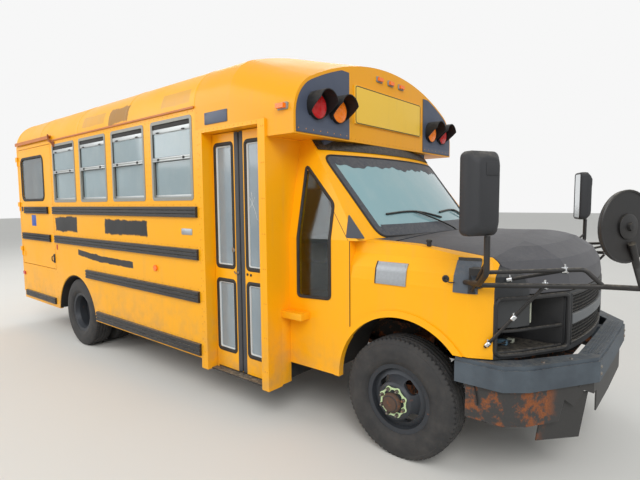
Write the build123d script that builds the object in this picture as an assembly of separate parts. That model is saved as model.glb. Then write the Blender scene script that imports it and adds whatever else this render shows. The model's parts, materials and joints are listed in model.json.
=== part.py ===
from build123d import *
import os
from math import cos
from math import radians
from math import sin
from math import sqrt

# Short school bus on a van chassis, millimetres, +X forward, +Y to the driver's side, +Z up.
# The origin is on the ground below the middle of the length, on the centre line.
# "Reach" is a distance along X from the front axle, positive forward.

# Stance
wheelbase = 4039
front_reach = 1288
rear_reach = -5860
tyre_diameter = 772
tyre_width = 225
tread_width = 178
rim_diameter = 444
bead_diameter = 404
front_wheel_y = 868
dual_outer_y = 1090
dual_spacing = 272
steer_limit = 32

# Body of the bus
body_width = 2438
wall = 40
body_back_reach = -5780
rear_wall_depth = 60
rear_corner_radius = 35
roof_seam_reach = -1680
right_front_reach = -890
left_front_reach = -1310
skirt_z = 360
wall_top_z = 2375
roof_crown_z = 2861
roof_radius = 3200
cove_radius = 350
floor_z = 840
floor_depth = 40
sill_depth = 50
arch_radius = 485
arch_lead = -30
arch_top_z = 815

# Front cap over the cab
cap_front_reach = -645
cap_blend_reach = -1250
cap_wall = 30
cap_half_width = 1190
cap_crown_z = 2700
cap_roof_radius = 2400
cap_cove_radius = 300
cap_side_z = 2200
soffit_z = 2080

# Side windows, as centre reaches behind the front axle
window_width = 615
window_sill_z = 1650
window_head_z = 2330
window_pitch = 735
first_window_reach = -2030
window_corner = 32
frame_face = 28
frame_depth = 46
mid_bar = 26
glass_depth = 5

# Entrance door
entry_front_reach = -960
entry_back_reach = -1600
entry_head_z = 2170
entry_bottom_z = 280
entry_recess = 97
leaf_depth = 35
leaf_gap = 7
leaf_meeting_gap = 14
leaf_rubber = 42
jamb_depth = 139

# Lift door, right rear
lift_back_reach = -5715
lift_front_reach = -4600
lift_sill_z = 835
lift_head_z = 2350
door_gap = 7
door_front_gap = 13
lift_window_back_reach = -5600
lift_window_front_reach = -4860
lift_window_sill_z = 1690
lift_window_head_z = 2220

# Emergency door, rear
rear_door_half = 455
rear_door_sill_z = 850
rear_door_head_z = 2210
rear_door_depth = 40

# Rub rails
rail_depth = 22
rail_groove = 8
rail_edge = 4

# Cab
cab_half_width = 990
cab_sill_z = 440
belt_z = 1373
cab_top_half_width = 850
cab_skin = 40
cowl_reach = -100
cowl_corner_reach = -240
cowl_corner_y = 850
pillar_lean_x = -455
pillar_lean_z = 585
fender_seam_reach = -345
windshield_foot_half = 800
windshield_top_half = 725
windshield_foot_z = 1410
windshield_top_z = 1970
pane_depth = 8

# Nose
nose_reach = 910
nose_corner_reach = 860
nose_corner_y = 500
lamp_corner_reach = 690
lamp_corner_y = 800
fender_front_reach = 585
fender_front_y = 930
fender_half_width = 985
fender_skin = 22
hood_skin = 22
hood_gap = 7
hood_half_width = 850
hood_lip_z = 1112
nose_bottom_z = 760
nose_panel_reach = 580
front_arch_radius = 462
front_arch_z = 455
front_arch_lead = 30
wheel_room = 30
flare_width = 42
flare_depth = 12

# Front bumper
bumper_top_z = 750
bumper_face_z = 728
bumper_bottom_z = 610
bumper_front_reach = 1030
bumper_crease_y = 500
bumper_crease_reach = 1025
bumper_corner_y = 900
bumper_corner_reach = 765
bumper_end_reach = 385
bumper_half_width = 988
bumper_skin = 12
bumper_fold = 9
bumper_step = 112
valance_bottom_z = 410

# Chassis
rail_y = 430
rail_web = 75
rail_top_z = 750
rail_height = 190
rail_wall = 9
frame_front_reach = 830
frame_back_reach = -5720

seat = 0.3
hinge_radius = 8
hinge_stand = 10
strap_depth = 6

front_axle_x = -(front_reach + rear_reach) / 2
rear_axle_x = front_axle_x - wheelbase
axle_z = tyre_diameter / 2
half = body_width / 2
nodes = {}


def at(reach):
    return front_axle_x + reach


def block(x0, x1, y0, y1, z0, z1):
    centre = Pos((x0 + x1) / 2, (y0 + y1) / 2, (z0 + z1) / 2)
    return centre * Box(abs(x1 - x0), abs(y1 - y0), abs(z1 - z0))


def side_slab(points, y0, y1, radius=0):
    """A plate with its outline in the side view, from y0 to y1."""
    corners = [(x, y0, z) for x, z in points]
    if radius:
        outline = FilletPolyline(*corners, radius=radius, close=True)
    else:
        outline = Polyline(*corners, close=True)
    return extrude(make_face(outline), amount=y1 - y0, dir=(0, 1, 0))


def front_slab(points, x0, x1, radius=0):
    """A plate with its outline in the front view, from x0 to x1."""
    corners = [(x0, y, z) for y, z in points]
    if radius:
        outline = FilletPolyline(*corners, radius=radius, close=True)
    else:
        outline = Polyline(*corners, close=True)
    return extrude(make_face(outline), amount=x1 - x0, dir=(1, 0, 0))


def plan_slab(points, z0, z1, radius=0):
    """A plate with its outline seen from above, from z0 to z1."""
    corners = [(x, y, z0) for x, y in points]
    if radius:
        outline = FilletPolyline(*corners, radius=radius, close=True)
    else:
        outline = Polyline(*corners, close=True)
    return extrude(make_face(outline), amount=z1 - z0, dir=(0, 0, 1))


def rod(start, end, radius):
    first = Vector(*start)
    last = Vector(*end)
    return extrude(Plane(origin=first, z_dir=last - first) * Circle(radius), (last - first).length)


def tube(points, radius, bend):
    path = FilletPolyline(*points, radius=bend)
    section = Plane(origin=path @ 0, z_dir=path % 0) * Circle(radius)
    return sweep(section, path=path)


def swapped(shape):
    """The same shape on the other side of the centre line."""
    return mirror(shape, about=Plane.XZ)


def hinge_pair(x, y, z, leaf, back):
    """Two knuckles on one upright axis, each with a strap; leaf and back are unit steps."""
    height = 60
    low = Pos(x, y, z - height / 2) * Cylinder(hinge_radius, height)
    high = Pos(x, y, z + height / 2 + seat) * Cylinder(hinge_radius, height)
    straps = []
    for direction, z0 in ((leaf, z - height), ((-leaf[0], -leaf[1]), z + seat)):
        dx, dy = direction
        reach_x = x + dx * 90
        reach_y = y + dy * 90
        side_x = back[0] * hinge_stand
        side_y = back[1] * hinge_stand
        if dx:
            x_pair = (x, reach_x)
            y_pair = (y + side_y - back[1] * strap_depth, y + side_y)
        else:
            x_pair = (x + side_x - back[0] * strap_depth, x + side_x)
            y_pair = (y, reach_y)
        straps.append(block(*sorted(x_pair), *sorted(y_pair), z0, z0 + height))
    return low + straps[0], high + straps[1]


def pane(x0, x1, z0, z1, y0, y1, radius):
    corners = [(x0, z0), (x1, z0), (x1, z1), (x0, z1)]
    return side_slab(corners, y0, y1, radius)


# Body section, seen from the front: upright walls, a cove at each side and a slightly round roof
def body_section(x, inset, bottom_z):
    side = half - inset
    radius = roof_radius - inset
    crown = roof_crown_z - inset
    disc = Pos(0, crown - radius) * Circle(radius)
    plate = Pos(0, (bottom_z + crown) / 2) * Rectangle(2 * side, crown - bottom_z)
    face = disc & plate
    top = face.vertices().sort_by(Axis.Y)[-2:]
    face = fillet(top, cove_radius - inset)
    return Plane(origin=(x, 0, 0), x_dir=(0, 1, 0), z_dir=(1, 0, 0)) * face


def body_run(x0, x1, inset, bottom_z):
    return extrude(body_section(x0, inset, bottom_z), amount=x1 - x0, dir=(1, 0, 0))


def cap_section(x, inset, bottom_z):
    side = cap_half_width - inset
    radius = cap_roof_radius - inset
    crown = cap_crown_z - inset
    disc = Pos(0, crown - radius) * Circle(radius)
    plate = Pos(0, (bottom_z + crown) / 2) * Rectangle(2 * side, crown - bottom_z)
    face = disc & plate
    top = face.vertices().sort_by(Axis.Y)[-2:]
    face = fillet(top, cap_cove_radius - inset)
    return Plane(origin=(x, 0, 0), x_dir=(0, 1, 0), z_dir=(1, 0, 0)) * face


# Cab form: leaning side walls, and a windshield that leans back and bows in plan
def cab_form(inset):
    side = cab_half_width - inset
    top_side = cab_top_half_width - inset
    bottom = cab_sill_z + inset
    top = soffit_z - inset
    back = at(left_front_reach) - inset
    section = [(-side, bottom), (side, bottom), (side, belt_z), (top_side, soffit_z)]
    section += [(-top_side, soffit_z), (-side, belt_z)]
    lower = front_slab(section, back, at(fender_seam_reach) - inset)
    lower = lower - block(back, at(0), -half, half, belt_z, soffit_z + 1)
    upper = front_slab(section, back, at(cowl_reach) + 50)
    lean = sqrt(pillar_lean_x**2 + pillar_lean_z**2)
    corner = at(cowl_corner_reach) - inset
    bow = ThreePointArc(
        (corner, -cowl_corner_y, belt_z),
        (at(cowl_reach) - inset, 0, belt_z),
        (corner, cowl_corner_y, belt_z),
    )
    far_back = back - lean
    sides = Polyline(
        (corner, cowl_corner_y, belt_z),
        (at(fender_seam_reach) - inset, half, belt_z),
        (at(left_front_reach) + pillar_lean_x, half, belt_z),
        (at(left_front_reach) + pillar_lean_x, -half, belt_z),
        (at(fender_seam_reach) - inset, -half, belt_z),
        (corner, -cowl_corner_y, belt_z),
    )
    rise = (soffit_z - belt_z) / pillar_lean_z * lean
    outline = make_face(bow + sides)
    leaning = extrude(outline, amount=rise, dir=(pillar_lean_x, 0, pillar_lean_z))
    leaning = leaning + block(far_back - 500, at(-900), -half, half, belt_z, soffit_z)
    greenhouse = leaning & upper
    greenhouse = greenhouse & block(back, at(0), -half, half, belt_z, top)
    return greenhouse + lower


def cab_run(inset, x0, x1):
    """The cab's side walls alone, run straight from x0 to x1."""
    side = cab_half_width - inset
    top_side = cab_top_half_width - inset
    section = [(-side, 0), (side, 0), (side, belt_z), (top_side, soffit_z)]
    section += [(-top_side, soffit_z), (-side, belt_z)]
    return front_slab(section, x0, x1)


def pillar_reach(z, start):
    """Reach of the leaning front edge of the cab side at height z."""
    return start + (z - belt_z) * pillar_lean_x / pillar_lean_z


# Front end form: hood and fenders in one, from plan outlines that step in towards the top
def nose_outline(z, inset):
    tip = at(nose_reach) - inset
    corner = at(nose_corner_reach) - inset * 0.98
    lamp_x = at(lamp_corner_reach) - inset * 0.8
    lamp_y = lamp_corner_y - inset * 0.6
    side_x = at(fender_front_reach) - inset * 0.6
    side_y = fender_front_y - min(inset, 70) * 0.8
    back_y = fender_half_width - min(inset, 70)
    back = at(fender_seam_reach)
    points = [(back, -back_y), (side_x - 120, -back_y), (side_x, -side_y), (lamp_x, -lamp_y)]
    points += [(corner, -nose_corner_y), (tip, 0), (corner, nose_corner_y), (lamp_x, lamp_y)]
    points += [(side_x, side_y), (side_x - 120, back_y), (back, back_y)]
    corners = [(x, y, z) for x, y in points]
    front = ThreePointArc(corners[4], corners[5], corners[6])
    outline = Polyline(*corners[:5]) + front + Polyline(*corners[6:], corners[0])
    return make_face(outline)


nose_steps = [(cab_sill_z, 0), (1130, 0), (1212, 12), (1290, 60), (1360, 175), (1425, 420)]


def nose_form(inset):
    levels = [nose_outline(z, step + inset) for z, step in nose_steps]
    return loft(levels, ruled=True)


shoulder_steps = [(fender_seam_reach, 1388, 5), (100, 1408, 58), (nose_reach + 40, 1432, 250)]


def shoulder_form(inset):
    faces = []
    for reach, crown, drop in shoulder_steps:
        side = fender_half_width + 40
        top = crown - inset
        arc = ThreePointArc(
            (at(reach), -side, top - drop),
            (at(reach), 0, top),
            (at(reach), side, top - drop),
        )
        foot = cab_sill_z - 60
        lines = Polyline(
            (at(reach), side, top - drop),
            (at(reach), side, foot),
            (at(reach), -side, foot),
            (at(reach), -side, top - drop),
        )
        faces.append(make_face(arc + lines))
    return loft(faces, ruled=True)


def front_form(inset):
    return nose_form(inset) & shoulder_form(inset)


# Chassis: two channel rails with cross members, hangers and mounts
def channel(x0, x1, side):
    web = block(x0, x1, side * rail_y, side * (rail_y + rail_wall), rail_top_z - rail_height, rail_top_z)
    inner = side * (rail_y + rail_wall)
    outer = side * (rail_y + rail_web)
    low = rail_top_z - rail_height
    upper = block(x0, x1, inner, outer, rail_top_z - rail_wall, rail_top_z)
    lower = block(x0, x1, inner, outer, low, low + rail_wall)
    return web + upper + lower


rail_front = at(frame_front_reach)
rail_back = at(frame_back_reach)
rail_bottom_z = rail_top_z - rail_height
frame = channel(rail_back, rail_front, 1) + channel(rail_back, rail_front, -1)
cross_reaches = [780, -420, -1150, -2000, -2900, -3500, -4640, -5300]
for reach in cross_reaches:
    member = block(at(reach), at(reach) + 70, -rail_y, rail_y, rail_bottom_z + 30, rail_bottom_z + 130)
    hollow = block(at(reach) + 8, at(reach) + 70, -rail_y, rail_y, rail_bottom_z + 30, rail_bottom_z + 122)
    frame = frame + (member - hollow)

for side in (1, -1):
    pad_y = side * (rail_y + rail_web / 2)
    pad = block(at(-1560), at(-1440), pad_y - rail_web / 2, pad_y + rail_web / 2, rail_bottom_z - 12, rail_bottom_z)
    frame = frame + pad

# Front axle: two beams, springs, arms and the fixed ends of the steering
kingpin_y = 800
spindle_radius = 24
beam_z = axle_z - 40
axle_eye_height = 70
kingpin_radius = 17
front_axle = Part()
for side in (1, -1):
    inner_x = front_axle_x - 55 * side
    beam = tube(
        [
            (inner_x, -side * 330, axle_z + 60),
            (inner_x, side * 120, axle_z + 40),
            (front_axle_x, side * 560, beam_z - 20),
            (front_axle_x, side * (kingpin_y - 30), axle_z),
        ],
        26,
        60,
    )
    pivot = block(inner_x - 35, inner_x + 35, -side * 330, -side * 400, axle_z + 25, rail_bottom_z + 30)
    eye = Pos(front_axle_x, side * kingpin_y, axle_z) * Cylinder(34, axle_eye_height)
    eye = eye - Pos(front_axle_x, side * kingpin_y, axle_z) * Cylinder(kingpin_radius + seat, 2 * axle_eye_height)
    pin_room = Pos(front_axle_x, side * kingpin_y, axle_z) * Cylinder(kingpin_radius + seat, 400)
    coil = Pos(front_axle_x, side * 575, (beam_z + 20 + 700) / 2) * Cylinder(56, 700 - beam_z - 20)
    core = Pos(front_axle_x, side * 575, (beam_z + 20 + 700) / 2) * Cylinder(42, 1000)
    perch = block(front_axle_x - 60, front_axle_x + 60, side * (rail_y + rail_web), side * 640, 700, 720)
    arm = rod((front_axle_x - 20, side * 560, beam_z - 20), (at(-900), side * 470, rail_bottom_z - 40), 22)
    bush = block(at(-930), at(-880), side * 440, side * 500, rail_bottom_z - 70, rail_bottom_z)
    front_axle = front_axle + ((beam + eye + pivot) - pin_room) + (coil - core) + perch + arm + bush
link_x = front_axle_x - 210
link = rod((link_x, -300, axle_z + 40), (link_x, 300, axle_z + 40), 16)
for side in (1, -1):
    drop = rod((link_x, side * 270, axle_z + 30), (link_x, side * 395, rail_bottom_z + 60), 18)
    gear = block(link_x - 60, link_x + 60, side * 370, side * rail_y, rail_bottom_z + 20, rail_bottom_z + 150)
    link = link + drop + gear
front_axle = front_axle - frame
front_axle = front_axle + (link - frame)
nodes["front_axle"] = front_axle

rim_offset = dual_spacing / 2

# Knuckles: fork round the axle eye, kingpin, spindle and steering arm
fork = 24
for name, side in (("left", 1), ("right", -1)):
    y = side * kingpin_y
    pin = Pos(front_axle_x, y, axle_z) * Cylinder(kingpin_radius, axle_eye_height + 2 * fork)
    knuckle = pin
    for end in (1, -1):
        lug = Pos(front_axle_x, y, axle_z + end * (axle_eye_height / 2 + seat + fork / 2)) * Cylinder(34, fork)
        knuckle = knuckle + lug
    back = block(front_axle_x - 45, front_axle_x + 45, y + side * 42, y + side * 66, axle_z - 70, axle_z + 70)
    for end in (1, -1):
        z0 = axle_z + end * (axle_eye_height / 2 + seat)
        z1 = z0 + end * fork
        knuckle = knuckle + block(front_axle_x - 30, front_axle_x + 30, y, y + side * 50, z0, z1)
    spindle_end = side * (front_wheel_y + rim_offset + 24)
    spindle = rod((front_axle_x, y + side * 60, axle_z), (front_axle_x, spindle_end, axle_z), spindle_radius)
    lever = block(front_axle_x - 165, front_axle_x - 40, y + side * 44, y + side * 62, axle_z - 62, axle_z - 40)
    knuckle = knuckle + back + spindle + lever
    nodes[f"knuckle_{name}"] = knuckle


# Wheels
def tyre(y):
    """A tyre about the wheel axis, its middle at y."""
    outer = tyre_diameter / 2
    bead = bead_diameter / 2
    bulge = tyre_width / 2
    tread = tread_width / 2
    flange = rim_diameter / 2 + seat
    profile = [
        (bead + seat, -tread + 14),
        (flange, -tread + 11),
        (flange, -tread - 1),
        (bead + 40, -bulge + 8),
        (bead + 95, -bulge),
        (outer - 30, -tread - 9),
        (outer - 6, -tread + 4),
        (outer, -tread + 24),
        (outer, tread - 24),
        (outer - 6, tread - 4),
        (outer - 30, tread + 9),
        (bead + 95, bulge),
        (bead + 40, bulge - 8),
        (flange, tread + 1),
        (flange, tread - 11),
        (bead + seat, tread - 14),
        (bead + 14, tread - 26),
        (outer - 26, tread - 30),
        (outer - 26, -tread + 30),
        (bead + 14, -tread + 26),
    ]
    ring = revolve(make_face(Polyline(*profile, close=True)), Axis.Y, 360)
    return Pos(0, y, axle_z) * ring


rim_wall = 9
disc_wall = 10
hub_radius = 62
hub_bore = spindle_radius + seat


def rim():
    """Barrel and dished disc with four hand holes; the disc face stands rim_offset outboard (+Y)."""
    bead = bead_diameter / 2
    flange = rim_diameter / 2
    seat_y = tread_width / 2 - 12
    profile = [
        (bead, -seat_y),
        (flange, -seat_y - 2),
        (flange, -seat_y - 10),
        (bead - rim_wall, -seat_y - 6),
        (bead - rim_wall - 16, -seat_y + 40),
        (bead - rim_wall - 16, seat_y - 40),
        (bead - rim_wall, seat_y + 6),
        (flange, seat_y + 10),
        (flange, seat_y + 2),
        (bead, seat_y),
        (bead - 16, seat_y - 40),
        (bead - 16, -seat_y + 40),
    ]
    barrel = revolve(make_face(Polyline(*profile, close=True)), Axis.Y, 360)
    inside = bead - rim_wall - 8
    face = rim_offset
    disc_profile = [
        (hub_radius, face),
        (102, face),
        (116, face - 10),
        (152, face - 66),
        (inside, face - 80),
        (inside, face - 80 - disc_wall),
        (146, face - 66 - disc_wall),
        (108, face - 10 - disc_wall),
        (98, face - disc_wall),
        (hub_radius, face - disc_wall),
    ]
    disc = revolve(make_face(Polyline(*disc_profile, close=True)), Axis.Y, 360)
    for step in range(4):
        angle = radians(45 + 90 * step)
        x = 136 * cos(angle)
        z = 136 * sin(angle)
        slot = Plane(origin=(x, face - 110, z), z_dir=(0, 1, 0), x_dir=(-sin(angle), 0, cos(angle)))
        disc = disc - extrude(slot * SlotOverall(96, 34), 120)
    return barrel + disc


def hub(start, end, bore, cap):
    """Hub about the wheel axis from start to end, with its outer end closed by a cap."""
    profile = [
        (bore, start),
        (hub_radius, start),
        (hub_radius, end - 24),
        (hub_radius - 12, end),
        (0, end),
        (0, end - cap),
        (bore, end - cap),
    ]
    return revolve(make_face(Polyline(*profile, close=True)), Axis.Y, 360)


hub_stand = 44
hub_cap = 12
front_hub = hub(20, rim_offset + hub_stand, hub_bore, hub_cap)
for name, side in (("left", 1), ("right", -1)):
    shape = Pos(front_axle_x, front_wheel_y, 0) * tyre(0)
    steel = Pos(front_axle_x, front_wheel_y, axle_z) * (rim() + front_hub)
    if side < 0:
        shape = swapped(shape)
        steel = swapped(steel)
    nodes[f"front_tyre_{name}"] = shape
    nodes[f"front_rim_{name}"] = steel

dual_inner_y = dual_outer_y - dual_spacing
dual_mid_y = (dual_outer_y + dual_inner_y) / 2
axle_tube_radius = 44
rear_hub = hub(-80, 84, axle_tube_radius + seat, hub_cap)
for name, side in (("left", 1), ("right", -1)):
    outer_tyre = Pos(rear_axle_x, dual_outer_y, 0) * tyre(0)
    inner_tyre = Pos(rear_axle_x, dual_inner_y, 0) * tyre(0)
    outer_rim = Pos(rear_axle_x, dual_outer_y, axle_z) * swapped(rim())
    inner_rim = Pos(rear_axle_x, dual_inner_y, axle_z) * rim()
    steel = outer_rim + (Pos(rear_axle_x, dual_mid_y, axle_z) * rear_hub) + inner_rim
    if side < 0:
        outer_tyre, inner_tyre = swapped(outer_tyre), swapped(inner_tyre)
        steel = swapped(steel)
    nodes[f"rear_tyres_{name}"] = outer_tyre + inner_tyre
    nodes[f"rear_rims_{name}"] = steel

# Rear axle with its differential and leaf springs
axle_end = dual_mid_y + 84 - hub_cap - 2
axle = rod((rear_axle_x, -axle_end, axle_z), (rear_axle_x, axle_end, axle_z), axle_tube_radius)
inner_end = dual_inner_y - tyre_width / 2 - 40
hub_face = dual_mid_y - 80 - seat
axle = axle + rod((rear_axle_x, -inner_end, axle_z), (rear_axle_x, inner_end, axle_z), 58)
axle = axle + Pos(rear_axle_x, 0, axle_z) * Sphere(165)
axle = axle + rod((rear_axle_x, 0, axle_z), (rear_axle_x + 330, 0, axle_z + 20), 60)
spring_y = 560
spring_front = rear_axle_x + 640
spring_back = rear_axle_x - 640
leaf_z = axle_z + 58
for side in (1, -1):
    stack = side_slab(
        [
            (spring_back, leaf_z + 75),
            (rear_axle_x - 330, leaf_z + 14),
            (rear_axle_x - 90, leaf_z - 4),
            (rear_axle_x + 90, leaf_z - 4),
            (rear_axle_x + 330, leaf_z + 14),
            (spring_front, leaf_z + 75),
            (spring_front, leaf_z + 87),
            (rear_axle_x + 330, leaf_z + 40),
            (rear_axle_x + 90, leaf_z + 44),
            (rear_axle_x - 90, leaf_z + 44),
            (rear_axle_x - 330, leaf_z + 40),
            (spring_back, leaf_z + 87),
        ],
        side * spring_y - 35,
        side * spring_y + 35,
    )
    for x in (spring_front, spring_back):
        hanger = block(x - 30, x + 30, side * (rail_y + rail_web), side * (spring_y + 42), leaf_z + 60, rail_top_z - 60)
        stack = stack + hanger
    for x in (rear_axle_x - 50, rear_axle_x + 50):
        strap = block(x - 8, x + 8, side * spring_y - 42, side * spring_y + 42, axle_z - 68, leaf_z + 56)
        stack = stack + strap
    axle = axle + stack
shock_mounts = [(rear_axle_x - 130, 1), (rear_axle_x - 130, -1)]
for x, side in shock_mounts:
    shock = rod((rear_axle_x - 60, side * 470, axle_z), (x, side * 470, rail_bottom_z - 3), 26)
    axle = axle + shock
nodes["rear_axle"] = axle - frame

# Driveline, engine, exhaust and tank
gearbox_end = at(-1120)
shaft_start = gearbox_end
engine = block(at(-230), at(560), -270, 270, 560, 1120)
engine = engine + block(at(-150), at(480), -180, 180, 470, 560)
engine = engine + block(gearbox_end, at(-230), -170, 170, 500, 690)
radiator = block(at(640), at(700), -380, 380, 600, 1060)
fan_shroud = rod((at(560), 0, 830), (at(640), 0, 830), 200)
engine = engine + fan_shroud + radiator
engine = engine + block(at(-60), at(120), -rail_y, rail_y, 620, 680)
engine_block = engine - frame - front_axle
nodes["engine_block"] = engine_block
pinion = (rear_axle_x + 330, 0, axle_z + 20)
shaft = rod((shaft_start, 0, 600), pinion, 42)
shaft = shaft - engine_block - nodes["rear_axle"] - frame
nodes["rear_axle"] = Compound(children=nodes["rear_axle"].solids() + shaft.solids())
exhaust = tube(
    [
        (at(-300), -330, 520),
        (at(-900), -330, 500),
        (at(-1700), -330, 470),
        (at(-2300), -330, 470),
    ],
    30,
    120,
)
exhaust = exhaust + rod((at(-2300), -330, 470), (at(-2900), -330, 470), 85)
exhaust = exhaust + tube(
    [
        (at(-2900), -330, 470),
        (at(-3400), -330, 480),
        (at(-3620), -330, 640),
        (at(-4450), -330, 640),
        (at(-4700), -330, 440),
        (at(-5790), -330, 400),
    ],
    28,
    90,
)
exhaust_hangers = [(-2000, 490), (-2900, 500), (-5300, 435)]
for reach, z in exhaust_hangers:
    exhaust = exhaust + block(at(reach), at(reach) + 30, -345, -315, z, rail_bottom_z + 30)
nodes["exhaust"] = exhaust - frame - nodes["rear_axle"] - engine_block
tank = block(at(-3350), at(-2250), rail_y + rail_web + 20, 1060, 430, 730)
tank = fillet(tank.edges().filter_by(Axis.X), 45)
for reach in (-3100, -2500):
    band = block(at(reach), at(reach) + 50, rail_y + rail_web, 1066, 424, 736)
    tank = tank + band
tank = tank - frame
nodes["chassis_frame"] = Compound(children=frame.solids() + tank.solids())

# Floor, sills, step well
well_front = at(entry_front_reach) + 5
well_back = at(entry_back_reach) - 5
well_y = -560
tread_rise = (floor_z - entry_bottom_z - 10) / 2
floor_front = at(left_front_reach)
inner_half = half - wall
floor = block(at(body_back_reach) + rear_wall_depth, floor_front, -inner_half, inner_half, floor_z - floor_depth, floor_z)
cab_floor_z = 785
well = block(well_back, well_front, -half, well_y, 0, floor_z + 1)
floor = floor - well
aisle = block(floor_front, at(-700), -half + jamb_depth, 250, floor_z - floor_depth, floor_z)
floor = floor + (aisle - well)
for side in (1, -1):
    sill = block(at(-5700), at(-1240), side * rail_y, side * (rail_y + rail_web), rail_top_z, floor_z - floor_depth)
    floor = floor + sill
for reach in (-1900, -2700, -3300, -4750, -5500):
    bearer = block(at(reach), at(reach) + 60, -inner_half, inner_half, floor_z - floor_depth - 45, floor_z - floor_depth)
    floor = floor + bearer
floor = floor - frame - tank
nodes["body_floor"] = floor
step_sheet = 10
jamb_inner_y = -half + jamb_depth
ground_step_z = entry_bottom_z + step_sheet
mid_step_z = ground_step_z + tread_rise
mid_y = (jamb_inner_y + well_y) / 2
stairs = block(well_back, well_front, -half + wall, mid_y, entry_bottom_z, ground_step_z)
stairs = stairs + block(well_back, well_front, mid_y, mid_y + step_sheet, entry_bottom_z, mid_step_z)
stairs = stairs + block(well_back, well_front, mid_y, well_y, mid_step_z - step_sheet, mid_step_z)
stairs = stairs + block(well_back, well_front, well_y - step_sheet, well_y, mid_step_z, floor_z)
for x in (well_back, well_front - step_sheet):
    stairs = stairs + block(x, x + step_sheet, jamb_inner_y, well_y, entry_bottom_z, floor_z)

# Side walls with windows, wheel arches and doors
arch_x = rear_axle_x + arch_lead
arch_z = arch_top_z - arch_radius
wall_back = at(body_back_reach) + rear_wall_depth
seam = at(roof_seam_reach)
window_reaches = [first_window_reach - window_pitch * step for step in range(5)]
right_windows = window_reaches[:4]
left_windows = window_reaches


def side_wall(front):
    panel = block(wall_back, front, -half, -half + wall, skirt_z, wall_top_z)
    panel = panel - Pos(arch_x, -half, arch_z) * Rot(90, 0, 0) * Cylinder(arch_radius, 400)
    return panel


def window_hole(reach, depth):
    x0 = at(reach) - window_width / 2
    x1 = at(reach) + window_width / 2
    return pane(x0, x1, window_sill_z, window_head_z, -half - 5, -half + depth, window_corner)


right_wall = side_wall(seam)
for reach in right_windows:
    right_wall = right_wall - window_hole(reach, 80)
lift_x0 = at(lift_back_reach)
lift_x1 = at(lift_front_reach)
lift_hole = block(lift_x0, lift_x1, -half - 60, -half + 80, lift_sill_z, lift_head_z)
right_wall = right_wall - lift_hole
left_wall = side_wall(seam)
left_wall = left_wall + block(seam, at(left_front_reach), -half, -half + wall, skirt_z, cap_side_z)
for reach in left_windows:
    left_wall = left_wall - window_hole(reach, 80)
left_wall = swapped(left_wall)

# Window frames and glass
sashes = Part()
panes = Part()
window_table = [(reach, -1) for reach in right_windows] + [(reach, 1) for reach in left_windows]
mid_z = (window_sill_z + window_head_z) / 2
for reach, side in window_table:
    x0 = at(reach) - window_width / 2
    x1 = at(reach) + window_width / 2
    y0 = -half - 4
    y1 = y0 + frame_depth
    outer = pane(x0, x1, window_sill_z, window_head_z, y0, y1, window_corner)
    low = pane(x0 + frame_face, x1 - frame_face, window_sill_z + frame_face, mid_z, y0, y1, 12)
    high = pane(x0 + frame_face, x1 - frame_face, mid_z + mid_bar, window_head_z - frame_face, y0, y1, 12)
    sash = outer - low - high
    low_glass = pane(x0 + frame_face, x1 - frame_face, window_sill_z + frame_face, mid_z, y0 + 26, y0 + 26 + glass_depth, 12)
    high_glass = pane(x0 + frame_face, x1 - frame_face, mid_z + mid_bar, window_head_z - frame_face, y0 + 12, y0 + 12 + glass_depth, 12)
    if side > 0:
        sash = swapped(sash)
        low_glass = swapped(low_glass)
        high_glass = swapped(high_glass)
    sashes = sashes + sash
    panes = panes + low_glass + high_glass
nodes["window_sashes"] = sashes

# Roof
roof_run = body_run(wall_back, seam, 0, wall_top_z - 100) - body_run(wall_back, seam, wall, wall_top_z - 100)
roof_run = roof_run & block(wall_back, seam, -half, half, wall_top_z, roof_crown_z + 1)
nodes["roof"] = roof_run

# Rear wall and emergency door
rear_face = at(body_back_reach)
rear_wall = body_run(rear_face, wall_back, 0, skirt_z + 90)
rear_outline = rear_wall.faces().sort_by(Axis.X)[0].edges()
rear_wall = fillet(rear_outline, rear_corner_radius)
door_hole = block(rear_face - 10, wall_back + 10, -rear_door_half, rear_door_half, rear_door_sill_z, rear_door_head_z)
rear_wall = rear_wall - door_hole
side_pane_y0 = rear_door_half + 130
side_pane_y1 = half - 200
for side in (1, -1):
    corners = [(side * side_pane_y0, window_sill_z), (side * side_pane_y1, window_sill_z)]
    corners += [(side * side_pane_y1, window_head_z - 120), (side * side_pane_y0, window_head_z - 120)]
    rear_wall = rear_wall - front_slab(corners, rear_face - 10, wall_back + 10, 60)
    panes = panes + front_slab(corners, rear_face + 20, rear_face + 20 + glass_depth, 60)
door_low = rear_door_sill_z + door_gap
door_high = rear_door_head_z - door_gap
door_half = rear_door_half - door_gap
rear_door = block(rear_face, rear_face + rear_door_depth, -door_half, door_half, door_low, door_high)
door_panes = [(window_sill_z, window_head_z - 220), (1040, 1480)]
rear_glass = Part()
for z0, z1 in door_panes:
    corners = [(-door_half + 90, z0), (door_half - 90, z0), (door_half - 90, z1), (-door_half + 90, z1)]
    rear_door = rear_door - front_slab(corners, rear_face - 10, rear_face + 80, 50)
    rear_glass = rear_glass + front_slab(corners, rear_face + 15, rear_face + 15 + glass_depth, 50)
handle = block(rear_face - 45, rear_face - 25, door_half - 190, door_half - 60, 1540, 1570)
handle = handle + block(rear_face - 25, rear_face, door_half - 90, door_half - 60, 1540, 1570)
rear_axis_x = rear_face - hinge_stand
rear_axis_y = -rear_door_half + door_gap / 2
for z in (1000, 1500, 2050):
    moving, fixed = hinge_pair(rear_axis_x, rear_axis_y, z, (0, 1), (1, 0))
    rear_door = rear_door + moving
    rear_wall = rear_wall + fixed
rear_door = rear_door + handle
nodes["rear_wall"] = rear_wall
nodes["rear_door"] = rear_door
nodes["rear_door_glass"] = rear_glass

# Front cap with its soffit
cap_floor = soffit_z
front_x = at(cap_front_reach)
blend_x = at(cap_blend_reach)


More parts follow.
